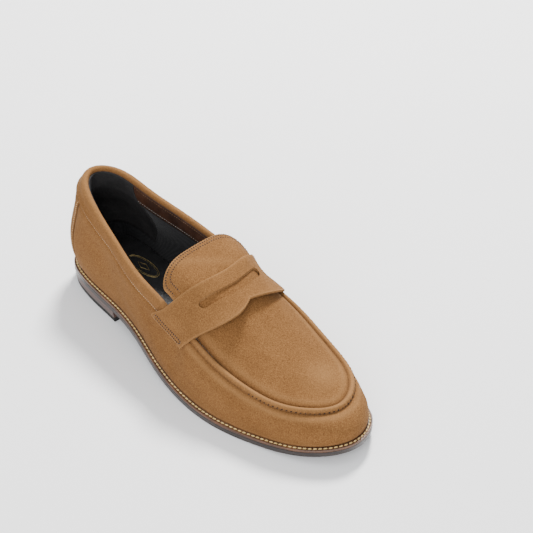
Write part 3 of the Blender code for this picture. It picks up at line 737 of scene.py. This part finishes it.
def make_collar():
    u = rows_of(MEDIAL_END - 1, LATERAL_END, 300)
    at, a, b = padded_curve(u, COLLAR_SECTION, 60)
    ripple = 0.10 * np.sin(u * GIRTH / 7.5)[:, None] * bell(at - 4, 2.5)
    rings = beside_top(u, a + ripple, b * (1 + 0.12 * heel_widening(u) * (b > 0)))
    # Painted highlight over the rim; painted shade low on the outside where the roll meets the wall, and
    # in the fold on its inside.
    painted_highlight = np.tile(0.42 * bell(at - COLLAR_RIM, 3.2), (len(u), 1))
    crease = np.tile(0.40 * bell(at - 1.1, 0.5) + 0.55 * bell(at - 13.5, 1.0), (len(u), 1))
    obj = swept("collar_suede", rings, "suede", (painted_highlight, crease))
    finish_piece(obj, "suede", "collar_band")
    row = u[4:-4]
    sewn("collar_stitches", skin(row, 1.0 + 0 * row), outward(row), 2.0, "tan_thread", "suede", 0.36,
         0.55, lift=0.45)


def make_foam():
    section = ((3.7, -9.2), (4.1, -7.2), (3.9, -4.6), (2.9, -4.4), (1.9, -5.2), (1.5, -7.2), (1.7, -9.2))
    u = rows_of(MEDIAL_END - 1, LATERAL_END, 160)
    _, a, b = padded_curve(u, section, 24)
    finish_piece(swept("collar_padding", beside_top(u, a, b), "foam"), "foam", "collar_foam")


# ---- linings


def lining_depth(u, t):
    """Outer face of the lining under the wall: it moves inwards to make room for the padding."""
    base = SUEDE_T + 2.5 * GAP + STIFF_T + GAP
    return base + (rim_out(u) - 0.1 - base) * smooth(t, 0.45, 1) * rear_share(u)


def layer(name, us, ts, depth, thick, mat, slot, cad):
    """A sheet inside the wall."""
    u, t = pair(us[:, None], ts[None, :])
    d = depth(u, t)
    finish_piece(slab(name, inside_wall(u, t, d), inside_wall(u, t, d + thick), mat), slot, cad)


def under_suede(u, t):
    return 0 * u + SUEDE_T + 2.5 * GAP


def make_linings():
    half = 0.2 / GIRTH
    layer("quarter_lining_leather", rows_of(MEDIAL_END - 1 + half, LATERAL_END - half, 240),
          rows_of(0, 0.92, 26), lining_depth, LINING_T, "cloth", "black", "quarter_lining")
    layer("vamp_lining_leather", rows_of(LATERAL_END + half, MEDIAL_END - half, 200),
          rows_of(0, 0.93, 20), lining_depth, LINING_T, "lining", "lining", "vamp_lining")
    layer("heel_counter_board", rows_of(-0.13, 0.13, 80), rows_of(0.03, 0.62, 14), under_suede, STIFF_T,
          "board", "board", "heel_counter")
    layer("toe_puff_board", rows_of(U_TOE - 0.11, U_TOE + 0.11, 80), rows_of(0.04, 0.9, 14),
          under_suede, STIFF_T, "board", "board", "toe_puff")
    make_facing()
    make_grip()


FACING_SEAM = 0.92


def facing_face(u, share, seam_in, rim_in):
    """A line of the facing's surface: share goes from its lower seam to the rim, the rest are depths."""
    depth = lining_depth(u, FACING_SEAM) + seam_in
    low = inside_wall(u, FACING_SEAM, depth) - up(0 * u + 1.2)
    n = outward(u)
    high = top_line(u) - n * rim_in - up(0 * u + 2.6)
    share = share[..., None]
    return low * (1 - share) + high * share - n * np.sin(math.pi * share) * 0.55


def make_facing():
    u = rows_of(MEDIAL_END - 1, LATERAL_END, 240)[:, None] + np.zeros(14)
    n, share = outward(u), np.linspace(0, 1, 14) + 0 * u
    face_out, face_in = facing_face(u, share, 0, -1.1), facing_face(u, share, LINING_T + 0.3, 0.15)
    obj = slab("collar_facing_leather", face_out, face_in, "facing")
    finish_piece(obj, "facing", "collar_facing")
    keep = slice(3, -3)
    for name, row, mat in (("facing_stitches", 2, "grey_thread"), ("rim_stitches", 11, "brown_thread")):
        line = (face_in - n * 0.05)[keep, row]
        sewn(name, line, -n[keep, row], 2.2, mat, "facing", 0.2, 0.35)


def grip_end(rise):
    """Front end of the heel grip, which leans forwards as it goes down from the rim (rise 1)."""
    return 0.063 + 0.030 * np.sin(math.pi / 2 * smooth(1 - rise, 0, 0.75))


def make_grip():
    """Nap of the heel: from the collar's rim over the facing and down the black lining."""
    t = rows_of(0.24, 0.9, 24)
    share = np.linspace(0.12, 0.98, 14)
    rise = np.concatenate([0.85 * t, 0.79 + 0.21 * share])
    u = grip_end(rise)[None, :] * np.linspace(-1, 1, 110)[:, None]
    low, high = u[:, :len(t)], u[:, len(t):]
    shares = share[None, :] + 0 * high
    faces = []
    for depth in (0.14, 0.74):
        below = inside_wall(low, t[None, :], lining_depth(low, t[None, :]) + LINING_T + depth)
        above = facing_face(high, shares, LINING_T + 0.3, 0.15) - outward(high) * depth
        faces.append(np.concatenate([below, above], 1))
    finish_piece(slab("heel_grip_nap", *faces, "grip"), "grip", "heel_grip")


# ---- apron, ridge

CROWN = ((-127.5, 33.5), (-118, 36.2), (-105, 39.6), (-90, 43.7), (-75, 48.2), (-60, 53.2),
         (-45, 60.2), (-31, 67.2), (-20, 73.2), (-12, 77.9), (0, 82), (12, 83.8), (24, 84.6))
PLUG_REAR_Y = -10
PLUG_POWER = (2.15, 2.7)


def crown_z(y):
    ys, zs = np.array(CROWN, float).T
    return cubic(ys, zs[:, None], y)[..., 0]


def seam_sides():
    u = np.linspace(0.2, 0.85, 2000)
    p = top_line(u)
    tip = p[:, 1].argmin()
    return p[: tip + 1][::-1], p[tip:]


SEAM_LATERAL, SEAM_MEDIAL = seam_sides()


def plug_surface(y, s):
    """y in mm, s from -1 on the lateral seam to 1 on the medial seam."""
    y = np.clip(y, SEAM_LATERAL[0, 1], None)
    a, b = (between(y, side[:, 1], side) for side in (SEAM_LATERAL, SEAM_MEDIAL))
    mid = (a + b) / 2
    p = mid + (b - a) / 2 * s[..., None]
    rise = crown_z(y) - mid[..., 2]
    power = PLUG_POWER[0] + (PLUG_POWER[1] - PLUG_POWER[0]) * smooth(y, -95, -20)
    p = p + up(rise * (1 - np.abs(s) ** power))
    p[..., 1] = y
    return p


def eased(count, share):
    """Places from -1 to 1, closer together at both ends as share comes near 1."""
    return np.sin(np.linspace(-1, 1, count) * math.pi / 2 * share) / math.sin(math.pi / 2 * share)


def plug_grid(rows, cols):
    tip = SEAM_LATERAL[0, 1]
    ys = tip + (PLUG_REAR_Y - tip) * (1 - np.cos(np.linspace(0, math.pi / 2, rows)))
    s = eased(cols, 0.92)
    y, s = np.broadcast_arrays(ys[:, None], s[None, :])
    grid = plug_surface(y, s)
    grid[0] = grid[0].mean(0)
    return grid


def seam_distance(points):
    """Distance in mm from the apron seam, seen from above."""
    seam = np.vstack([SEAM_LATERAL[::-1], SEAM_MEDIAL])[::6, :2]
    flat = points.reshape(-1, 3)[:, None, :2]
    return np.sqrt(((flat - seam[None]) ** 2).sum(-1)).min(1).reshape(points.shape[:-1])


def lining_under(name, grid, n, gap):
    low = SUEDE_T + gap
    return slab(name, grid - n * low, grid - n * (low + LINING_T), "lining")


def make_apron():
    grid = plug_grid(110, 61)
    n = turned_up(grid_normals(grid))
    n[0] = n[1].mean(0)
    n = unit(n)
    far = seam_distance(grid)
    x, y = grid[..., 0], grid[..., 1]
    dents = 0.35 * bell(y + 112, 9) * bell(x - 14, 12) + 0.2 * np.sin(y / 9 + x / 14)
    outer = grid + n * (0.45 * bell(far - 4.5, 3.0) - 0.5 * bell(far, 1.2) + 0.25 * dents)[..., None]
    # Painted highlight beside the seam and on a patch over the toe; painted shade along the seam.
    painted_highlight = 0.35 * bell(far - 4.0, 2.0) + 0.45 * bell(y + 104, 11) * bell(x - 12, 13)
    obj = slab("apron_suede", outer, outer - n * SUEDE_T, "suede", (painted_highlight, 0.6 * bell(far, 1.0)))
    finish_piece(obj, "suede", "apron")
    finish_piece(lining_under("apron_lining_leather", grid, n, GAP + 0.5), "lining", "apron_lining")


RIDGE_SECTION = (  # outwards and up from the seam: from the outer foot over the crown to the crease
    (4.3, -2.3), (4.1, -1.1), (3.7, 0.0), (2.95, 0.78), (2.0, 1.05), (1.1, 0.85), (0.4, 0.25),
    (-0.35, -0.5), (-0.85, -1.4), (-0.75, -2.3), (1.0, -2.9), (3.0, -2.9),
)
GATHER_PITCH, GATHER_REACH = 3.3, 78  # of the seam's stitches, and how far they run from the tip


def make_ridge():
    u = rows_of(LATERAL_END + 0.016, MEDIAL_END - 0.016, 620)
    top, n = top_line(u), outward(u)
    at, a, b = section_curve(RIDGE_SECTION, 30)
    toe = bell((u - U_TOE) * GIRTH, 95)
    pull = (0.10 + 0.16 * toe) * np.cos(2 * math.pi * travel(top) / GATHER_PITCH)
    rise = np.outer(pull, bell(at - 1.0, 1.3)) * 0.8
    # Painted highlight along the ridge's top; painted shade at its outer foot and in the crease on the
    # apron side.
    painted_highlight = np.tile(0.75 * bell(at - 3.7, 2.0), (len(u), 1))
    crease = np.tile(0.6 * bell(at - 8.2, 1.0) + 0.45 * bell(at - 0.1, 0.8), (len(u), 1))
    rings = beside_top(u, a + rise, b + 0.5 * rise)
    finish_piece(swept("apron_ridge_suede", rings, "suede", (painted_highlight, crease)), "suede", "apron_ridge")
    keep = np.abs(u - U_TOE) * GIRTH < GATHER_REACH
    foot = (top + n * 4.15 - [0, 0, 1.6])[keep]
    # The gathered stitches are drawn in the needle holes' near-black painted shade.
    row = stitches("ridge_stitches", foot, (n + [0, 0, 0.55])[keep], GATHER_PITCH, GATHER_PITCH * 0.5,
                   0.34, "hole_shade", lift=0.12, slant=0.35)
    finish_piece(row, "suede")


# ---- strap and tongue

STRAP_AXIS_Z, STRAP_REAR_Y, STRAP_HALF = 35, -9.5, 46
STRAP_ENDS = ((164.3, 175), (17, 7))
STRAP_FRONT = ((0, -18), (0.12, -28), (0.21, -35.5), (0.32, -41), (0.42, -42), (0.49, -39.5),
               (0.54, -36.5))
STRAP_FRONT_MEDIAL = ((0.54, -36.5), (0.65, -38.3), (0.76, -37.6), (0.88, -31), (1, -19.5))
STRAP_BOX = (1.9, 5.2)  # distances of the stitched box's two long sides from the strap's end
SLOT_HALF, SLOT_WIDE, SLOT_Y, SLOT_SAG = 27, 6.4, -24.0, 6.5


def strap_rear_y(x):
    return STRAP_REAR_Y + 23.5 * (np.abs(x) / STRAP_HALF) ** 2.6 + 5.5 * smooth(-x, 40, 44.3)


def strap_front_y(s):
    both = []
    for line in (np.array(STRAP_FRONT, float), np.array(STRAP_FRONT_MEDIAL, float)):
        both.append(cubic(line[:, 0], line[:, 1:], np.clip(s, line[0, 0], line[-1, 0]))[..., 0])
    return np.where(s < STRAP_FRONT[-1][0], *both)


def strap_grid(cols, rows):
    s, w = np.meshgrid(np.linspace(0, 1, cols), np.linspace(0, 1, rows), indexing="ij")
    (a0, a1), (b0, b1) = STRAP_ENDS
    start, end = a0 + (a1 - a0) * w, b0 + (b1 - b0) * w
    angle = np.radians(start + (end - start) * s)
    rear = strap_rear_y(STRAP_HALF * np.cos(angle))
    y = rear + (strap_front_y(s) - rear) * w
    return angle, y


def support_radius(angle, y, names):
    """Radius about the strap's axis at which each ray leaves the named pieces."""
    need = np.zeros_like(y)
    far = 0.09
    trees = []
    for name in names:
        mesh = bpy.data.objects[name].data
        trees.append(BVHTree.FromPolygons([v.co for v in mesh.vertices],
                                          [tuple(p.vertices) for p in mesh.polygons]))
    for i, j in np.ndindex(y.shape):
        way = Vector((math.cos(angle[i, j]), 0, math.sin(angle[i, j])))
        axis = Vector((CENTRE[0], y[i, j] + CENTRE[1], STRAP_AXIS_Z)) * MM
        for tree in trees:
            hit = tree.ray_cast(axis + way * far, -way, far)
            if hit[0] is not None:
                need[i, j] = max(need[i, j], (hit[0] - axis).length / MM)
    return need


STRAP_BED = ("vamp_suede", "apron_suede", "apron_ridge_suede", "collar_suede", "tongue_suede")
STRAP_COLS, STRAP_ROWS = 151, 37


def tight_sheet(cols, rows, names, clear, rounds):
    """Radii of a sheet pulled tight over the named pieces, from a support sampled three times finer."""
    angle, y = strap_grid((cols - 1) * 3 + 1, (rows - 1) * 3 + 1)
    need = np.pad(support_radius(angle, y, names), 1, mode="edge")
    floor = np.zeros((cols, rows))
    for di in range(3):
        for dj in range(3):
            part = need[di : di + (cols - 1) * 3 + 1 : 3, dj : dj + (rows - 1) * 3 + 1 : 3]
            floor = np.maximum(floor, part)
    floor += clear
    rho = floor.copy()
    for _ in range(rounds):
        pad = np.pad(rho, 1, mode="edge")
        across = (pad[:-2, 1:-1] + pad[2:, 1:-1]) / 2
        along = (pad[1:-1, :-2] + pad[1:-1, 2:]) / 2
        rho = np.maximum(floor, 0.5 * across + 0.3 * along + 0.2 * rho)
    return rho


def finer(grid, cols, rows):
    """The same surface on a closer grid, by cubic splines in both directions."""
    wide = cubic(np.linspace(0, 1, grid.shape[0]), grid, np.linspace(0, 1, cols))
    return cubic(np.linspace(0, 1, grid.shape[1]), wide.T, np.linspace(0, 1, rows)).T


def make_strap():
    angle, y = strap_grid(STRAP_COLS, STRAP_ROWS)
    rho = finer(tight_sheet(41, 9, STRAP_BED, 0.25, 40), STRAP_COLS, STRAP_ROWS)
    low = np.stack([np.cos(angle) * rho, y, STRAP_AXIS_Z + np.sin(angle) * rho], -1)
    n = grid_normals(low)
    n = n * np.sign((n * (low - [0, 0, STRAP_AXIS_Z])).sum(-1, keepdims=True))
    s = np.linspace(0, 1, STRAP_COLS)[:, None]
    w = np.linspace(0, 1, STRAP_ROWS)[None, :]
    across = np.linalg.norm(low[:, -1] - low[:, 0], axis=-1)[:, None]
    long = np.linalg.norm(np.diff(low[:, STRAP_ROWS // 2], axis=0), axis=-1).sum()
    rim = np.minimum(np.minimum(w, 1 - w) * across, np.minimum(s, 1 - s) * long)
    high = low + n * (STRAP_T - 0.28 * bell(rim, 0.5))[..., None]
    # Painted highlight along the strap's edges, and a slight one all over.
    painted_highlight = 0.6 * bell(rim, 1.0) + 0.10
    strap = slab("saddle_strap_suede", high, low, "suede raw", (painted_highlight, 0 * rim), 1)
    cutter = slot_cutter()
    boolean = strap.modifiers.new("slot", "BOOLEAN")
    boolean.operation, boolean.solver, boolean.object = "DIFFERENCE", "EXACT", cutter
    boolean.material_mode = "TRANSFER"
    bpy.context.view_layer.update()
    cut = strap.evaluated_get(bpy.context.evaluated_depsgraph_get())
    mesh = bpy.data.meshes.new_from_object(cut)
    strap.modifiers.clear()
    strap.data = mesh
    bpy.data.objects.remove(cutter)
    finish_piece(strap, "suede", "saddle_strap")
    backing = slab("saddle_strap_backing", low - n * 0.02, low - n * 0.2, "suede", (0 * rim, 0 * rim))
    finish_piece(backing, "suede")
    mesh.set_sharp_from_angle(angle=math.radians(50))
    strap_stitches(high, n)


def strap_stitches(high, n):
    """A long narrow box of stitches across each end of the strap."""
    for name, grid, norm in (("lateral", high, n), ("medial", high[::-1], n[::-1])):
        far = np.linalg.norm(np.diff(grid[:, STRAP_ROWS // 2], axis=0), axis=-1).cumsum()
        first, second = (int(np.searchsorted(far, d)) for d in STRAP_BOX)
        rear, front = 3, STRAP_ROWS - 4
        path = [(first, k) for k in range(rear, front + 1)]
        path += [(k, front) for k in range(first + 1, second)]
        path += [(second, k) for k in range(front, rear - 1, -1)]
        path += [(k, rear) for k in range(second - 1, first, -1)]
        rows, cols = np.array(path).T
        sewn(f"strap_stitches_{name}", grid[rows, cols], norm[rows, cols], 1.9, "brown_thread",
             "suede", 0.27, 0.78, closed=True)


def slot_cutter():
    """Upright prism: a long slot with round ends, bent to follow the strap."""
    r = SLOT_WIDE / 2
    turn = np.linspace(0, math.pi, 14)[1:-1]
    half = [(x, r) for x in np.linspace(-1, 1, 40) * (SLOT_HALF - r)]
    half += [(SLOT_HALF - r + r * math.sin(a), r * math.cos(a)) for a in turn]
    p = np.vstack([half, np.negative(half)])
    y = SLOT_Y + p[:, 1] + SLOT_SAG * (p[:, 0] / SLOT_HALF) ** 2
    return swept("slot_cutter", [np.column_stack([p[:, 0], y, 0 * y + z]) for z in (40, 100)], "raw")


TONGUE_HALF, TONGUE_END_Y, TONGUE_ROUND_Y = 36, 22.5, 9.5
TONGUE_DROP, TONGUE_POWER, TONGUE_TILT, TONGUE_X = 14, 4.2, 0.08, 1.5
TONGUE_UNDER, TONGUE_TUCK = 2.5, 4.2  # how far its front edge runs under the strap and dips at the sides


def tongue_end(x, inset=0):
    """y of the tongue's rear edge, or of a line inset mm inside it."""
    full = np.clip(1 - np.abs(x / (TONGUE_HALF - inset + 0.1)) ** 3, 0, 1) ** (1 / 3)
    return TONGUE_ROUND_Y - inset * 0.3 + (TONGUE_END_Y - inset * 0.7 - TONGUE_ROUND_Y) * full


def tongue_surface(x, v):
    start = strap_rear_y(x) - TONGUE_UNDER
    y = start + (tongue_end(x) - start) * v
    near = (1 - v) ** 2
    z = crown_z(y) + (TONGUE_TILT - 0.05 * near) * x
    z = z - (TONGUE_DROP + TONGUE_TUCK * near) * np.abs(x / TONGUE_HALF) ** TONGUE_POWER
    z = z + 0.3 * np.sin(x / 6.5 + y / 9) * np.sin(math.pi * v) + 0.35 * bell(x + y - 6, 4) * v * (1 - v)
    return np.stack([x + TONGUE_X, y, z], -1)


def make_tongue():
    x, v = np.meshgrid(eased(81, 0.9) * TONGUE_HALF, np.linspace(0, 1, 41), indexing="ij")
    grid = tongue_surface(x, v)
    n = turned_up(grid_normals(grid))
    border = np.concatenate([grid[0, ::-1], grid[:, -1], grid[-1]])[:, None, None]
    rim = np.stack([np.linalg.norm(grid - b, axis=-1) for b in border[::2]]).min(0)
    rim = np.where(v < 0.02, 9.0, rim)
    outer = grid - n * (0.5 * bell(rim, 0.8))[..., None]
    # Painted highlight along the tongue's edge and in a slanting band across it.
    painted_highlight = 0.7 * bell(rim, 1.6) + 0.28 * bell(x * 0.8 + grid[..., 1] - 2, 4.5)
    tongue = slab("tongue_suede", outer, grid - n * SUEDE_T, "suede raw", (painted_highlight, 0 * rim), 1)
    under = lining_under("tongue_lining_leather", grid, n, 0.1)
    pieces = [finish_piece(tongue, "suede", "tongue", body=None),
              finish_piece(under, "lining", "tongue_lining", body=None)]
    for inset, name in ((1.7, "outer"), (4.6, "inner")):
        pieces += sewn(f"tongue_stitches_{name}", *tongue_row(inset), 2.0, "brown_thread", "suede",
                       0.26, 0.78, body=None)
    return pieces


def tongue_row(inset):
    """A line across the tongue's rounded end, inset mm inside its edge, with the surface's normals."""
    half = TONGUE_HALF - inset
    x = half * np.sin(np.linspace(-1, 1, 241) * math.pi / 2)
    y = tongue_end(x, inset)
    down = np.linspace(0, 1, 14)[1:]
    low_y = strap_rear_y(half) + 1.0
    left = np.column_stack([np.full(13, -half), (y[0] + (low_y - y[0]) * down)[::-1]])
    right = np.column_stack([np.full(13, half), y[-1] + (low_y - y[-1]) * down])
    px, py = np.vstack([left, np.column_stack([x, y]), right]).T

    def lift(px, py):
        start = strap_rear_y(px) - TONGUE_UNDER
        return tongue_surface(px, (py - start) / (tongue_end(px) - start))

    line = lift(px, py)
    return line, unit(np.cross(lift(px + 0.2, py) - line, lift(px, py + 0.2) - line))


# ---- bottom


PLATE_ROWS, PLATE_COLS = 260, 9


def sole_sides(inset):
    """(lateral, medial) halves of the sole outline moved inwards, each from toe to heel or back."""
    u = np.linspace(0, 1, 2400, endpoint=False)
    p = edge(u) - (outward(u) * inset)[:, :2]
    heel = p[:, 1].argmax()
    p = np.roll(p, -heel, axis=0)
    toe = p[:, 1].argmin()
    return p[: toe + 1][::-1], np.vstack([p[toe:], p[:1]])


def plate_grid(inset, span, height):
    """A grid over the outline moved inwards, its rows closer together towards the round ends."""
    lateral, medial = sole_sides(inset)
    low, high = lateral[0, 1], lateral[-1, 1]
    ys = (low + high) / 2 + (high - low) / 2 * np.cos(np.linspace(math.pi, 0, PLATE_ROWS))
    ys = ys[(ys > span[0] + 0.5) & (ys < span[1] - 0.5)]
    ys = np.concatenate([[max(low, span[0])], ys, [min(high, span[1])]])
    left = np.interp(ys, lateral[:, 1], lateral[:, 0])
    right = np.interp(ys, medial[:, 1], medial[:, 0])
    x = left[:, None] + (right - left)[:, None] * np.linspace(0, 1, PLATE_COLS)
    y = np.repeat(ys[:, None], PLATE_COLS, 1)
    return np.stack([x, y, height(y)], -1)


def plate(name, insets, z_low, z_high, mat, cad, rounding, span=(-200, 200)):
    """A flat layer of the bottom with rounded edges. insets are for its top and its underside."""
    top, low = (plate_grid(insets[k], span, (z_high, z_low)[k]) for k in (0, 1))
    obj = slab(name, top, low, mat)
    bevel = obj.modifiers.new("rounded", "BEVEL")
    bevel.width, bevel.segments, bevel.limit_method = rounding * MM, 2, "ANGLE"
    bevel.angle_limit = math.radians(50)
    bevel.use_clamp_overlap = True
    finish_piece(obj, mat, cad)
    obj.data.set_sharp_from_angle(angle=math.radians(40))


def above_floor(rise):
    return lambda y: floor_z(y) + rise


def level(z):
    return lambda y: 0 * y + z


def make_heel():
    z = 0
    layers = (("heel_top_piece", "rubber", TOP_PIECE_T, "rubber"),
              ("heel_lift_2", "leather", LIFT_T, "stack"), ("heel_lift_1", "leather", LIFT_T, "stack"))
    for cad, stuff, thick, mat in layers:
        low_inset = HEEL_TAPER * (1 - z / HEEL_RISE)
        high_inset = HEEL_TAPER * (1 - (z + thick + GAP) / HEEL_RISE)
        plate(f"{cad}_{stuff}", (high_inset, low_inset), level(z), level(z + thick + GAP * 0.7), mat,
              cad, 0.28, (HEEL_BREAST_Y, 200))
        z += thick + GAP


def make_insole():
    rise = FOOT_Z
    layers = (("insole_board", "insole_board_sheet", BOARD_T, "board"),
              ("insole_foam", "insole_padding", FOAM_T, "foam"),
              ("sock_liner", "sock_liner_leather", SOCK_T, "black"))
    for cad, name, thick, mat in layers:
        plate(name, (BOARD_INSET,) * 2, above_floor(rise), above_floor(rise + thick), mat, cad, 0.3)
        rise += thick + GAP


SOCK_TOP = FOOT_Z + BOARD_T + FOAM_T + SOCK_T + 2 * GAP
MARK_AT, MARK_SIZE = (6.0, 92.0), (7.0, 17.5)  # centre and half sizes of the gilt oval


def make_sock_mark():
    """Gilt mark on the sock liner: two oval rings round a lozenge, with no lettering."""
    def ring(name, half_x, half_y, width, corners, power=2.0):
        turn = np.arange(corners) / corners * 2 * math.pi
        c, s = np.cos(turn), np.sin(turn)
        shape = (np.abs(c) ** power + np.abs(s) ** power) ** (-1 / power)
        direction = np.column_stack([c * shape, s * shape])
        rings = []
        for grow, lift in ((0, 0.02), (width, 0.02), (width, 0.1), (0, 0.1)):
            p = direction * [half_x - grow, half_y - grow] + MARK_AT
            rings.append(np.column_stack([p, floor_z(p[:, 1]) + SOCK_TOP + lift]))
        finish_piece(swept(name, np.stack(rings, 1), "gold", closed=True), "black")

    ring("sock_mark_outer", *MARK_SIZE, 0.7, 96)
    ring("sock_mark_inner", MARK_SIZE[0] - 1.5, MARK_SIZE[1] - 1.5, 0.35, 96)
    ring("sock_mark_lozenge", 3.0, 7.6, 0.8, 48, power=1.0)


WELT_SECTION = (  # inset from the edge, height in the welt
    (0.0, 0.45), (0.0, 1.75), (0.16, 2.08), (0.5, 2.2), (1.35, 2.2), (1.6, 2.02), (2.4, 2.02),
    (2.65, 2.2), (4.0, 2.2), (9.0, 2.2), (9.0, 0.0), (0.5, 0.0), (0.14, 0.13),
)
WELT_STITCH = 3.6


def make_welt():
    u = rows_of(0, 1, 1500)[:-1]
    e, n = edge(u), outward(u)
    arc = travel(e)
    turns = round(GIRTH / WELT_STITCH)
    nick = 0.5 - 0.5 * np.cos(2 * math.pi * arc / arc[-1] * turns)
    rings = []
    for inset, rise in WELT_SECTION:
        p = e - (n * inset)[:, :2]
        dip = 0.16 * nick**6 * (rise > 2.1) * (inset < 1.5)
        rings.append(np.column_stack([p, floor_z(p[:, 1]) + OUTSOLE_T + GAP + rise - dip]))
    obj = swept("welt_leather", np.stack(rings, 1), "welt", closed=True)
    finish_piece(obj, "welt", "welt")
    obj.data.set_sharp_from_angle(angle=math.radians(50))
    p = e - (n * 2.0)[:, :2]
    line = np.column_stack([p, floor_z(p[:, 1]) + OUTSOLE_T + GAP + 2.06])
    row = stitches("welt_stitches", line, np.tile([0, 0, 1.0], (len(u), 1)), WELT_STITCH,
                   WELT_STITCH * 0.86, 0.58, "cream_thread", lift=0.18, slant=0.12, closed=True)
    finish_piece(row, "welt")


def make_outsole():
    plate("outsole_sheet", (0, 0), above_floor(0), above_floor(OUTSOLE_T + GAP * 0.8), "sole",
          "outsole", 0.8)
    u = np.linspace(0, 1, 1400, endpoint=False)
    p = edge(u) - (outward(u) * 4.2)[:, :2]
    p = p[p[:, 1] < HEEL_BREAST_Y - 3]
    split = int(np.argmax(np.linalg.norm(np.diff(p, axis=0), axis=1))) + 1
    p = np.roll(p, -split, axis=0) if 1 < split < len(p) - 1 else p
    line = np.column_stack([p, floor_z(p[:, 1])])
    row = stitches("sole_stitches", line, np.tile([0, 0, -1.0], (len(p), 1)), 4.2, 3.2, 0.4,
                   "brown_thread", lift=-0.15)
    finish_piece(row, "sole")


def dress_inner_nodes():
    """Solids inside the bottom keep their CAD shape and take a finished material."""
    for name, mat in (("bottom_filler", "cork"), ("shank", "steel")):
        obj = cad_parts[name]
        obj.data.materials.clear()
        obj.data.materials.append(MATS[mat])


# ---- camera, light, floor

CAMERA_AT = (-0.61475, -0.7759, 0.8441)
CAMERA_TURN, CAMERA_RISE = -40.76, 38.5  # azimuth and elevation of the line of sight, degrees
LENS, SENSOR = 119.46, 36.0
SHIFT = (0.0019, 0.0456)


def make_camera():
    data = bpy.data.cameras.new("camera")
    data.lens, data.sensor_width = LENS, SENSOR
    data.shift_x, data.shift_y = SHIFT
    camera = put("camera", data)
    a, e = math.radians(CAMERA_TURN), math.radians(CAMERA_RISE)
    back = Vector((math.sin(a) * math.cos(e), -math.cos(a) * math.cos(e), math.sin(e)))
    camera.location = CAMERA_AT
    camera.rotation_mode = "QUATERNION"
    camera.rotation_quaternion = (-back).to_track_quat("-Z", "Y")
    bpy.context.scene.camera = camera


def softbox(name, place, size, power, colour=(1, 1, 1)):
    data = bpy.data.lights.new(name, "AREA")
    data.shape, data.size, data.energy, data.color = "DISK", size, power, colour
    lamp = put(name, data)
    lamp.location = place
    lamp.rotation_mode = "QUATERNION"
    lamp.rotation_quaternion = Vector(place).to_track_quat("Z", "Y")


def make_stage():
    m = Look("pale_floor", Roughness=0.85, Specular_IOR_Level=0.2)
    m.base(m.ramp(m.noise(3.0, 2.0), (0.3, (0.91, 0.91, 0.912)), (0.7, (0.93, 0.93, 0.932))))
    half = 6.0
    mesh = bpy.data.meshes.new("floor")
    mesh.from_pydata([(-half, -half, 0), (half, -half, 0), (half, half, 0), (-half, half, 0)], [],
                     [(0, 1, 2, 3)])
    mesh.materials.append(m.mat)
    floor = put("floor", mesh)
    floor.location.z = -0.0002
    world = bpy.data.worlds.new("studio")
    world.use_nodes = True
    sky = world.node_tree.nodes["Background"]
    sky.inputs["Color"].default_value = (0.95, 0.97, 1.0, 1)
    sky.inputs["Strength"].default_value = 0.86
    bpy.context.scene.world = world
    softbox("key", (1.05, 0.75, 1.5), 0.45, 92, (1.0, 0.985, 0.965))
    softbox("fill", (-1.5, -1.1, 1.1), 1.6, 42, (0.985, 0.99, 1.0))
    softbox("top", (-0.1, 0.2, 2.2), 1.4, 6)


# ---- making

make_camera()
make_stage()
make_wall()
make_backstay()
make_collar()
make_foam()
make_linings()
make_apron()
make_ridge()
TONGUE_PIECES = make_tongue()
make_strap()
make_heel()
make_insole()
make_sock_mark()
make_welt()
make_outsole()
dress_inner_nodes()

for piece in TONGUE_PIECES:
    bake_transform(piece)
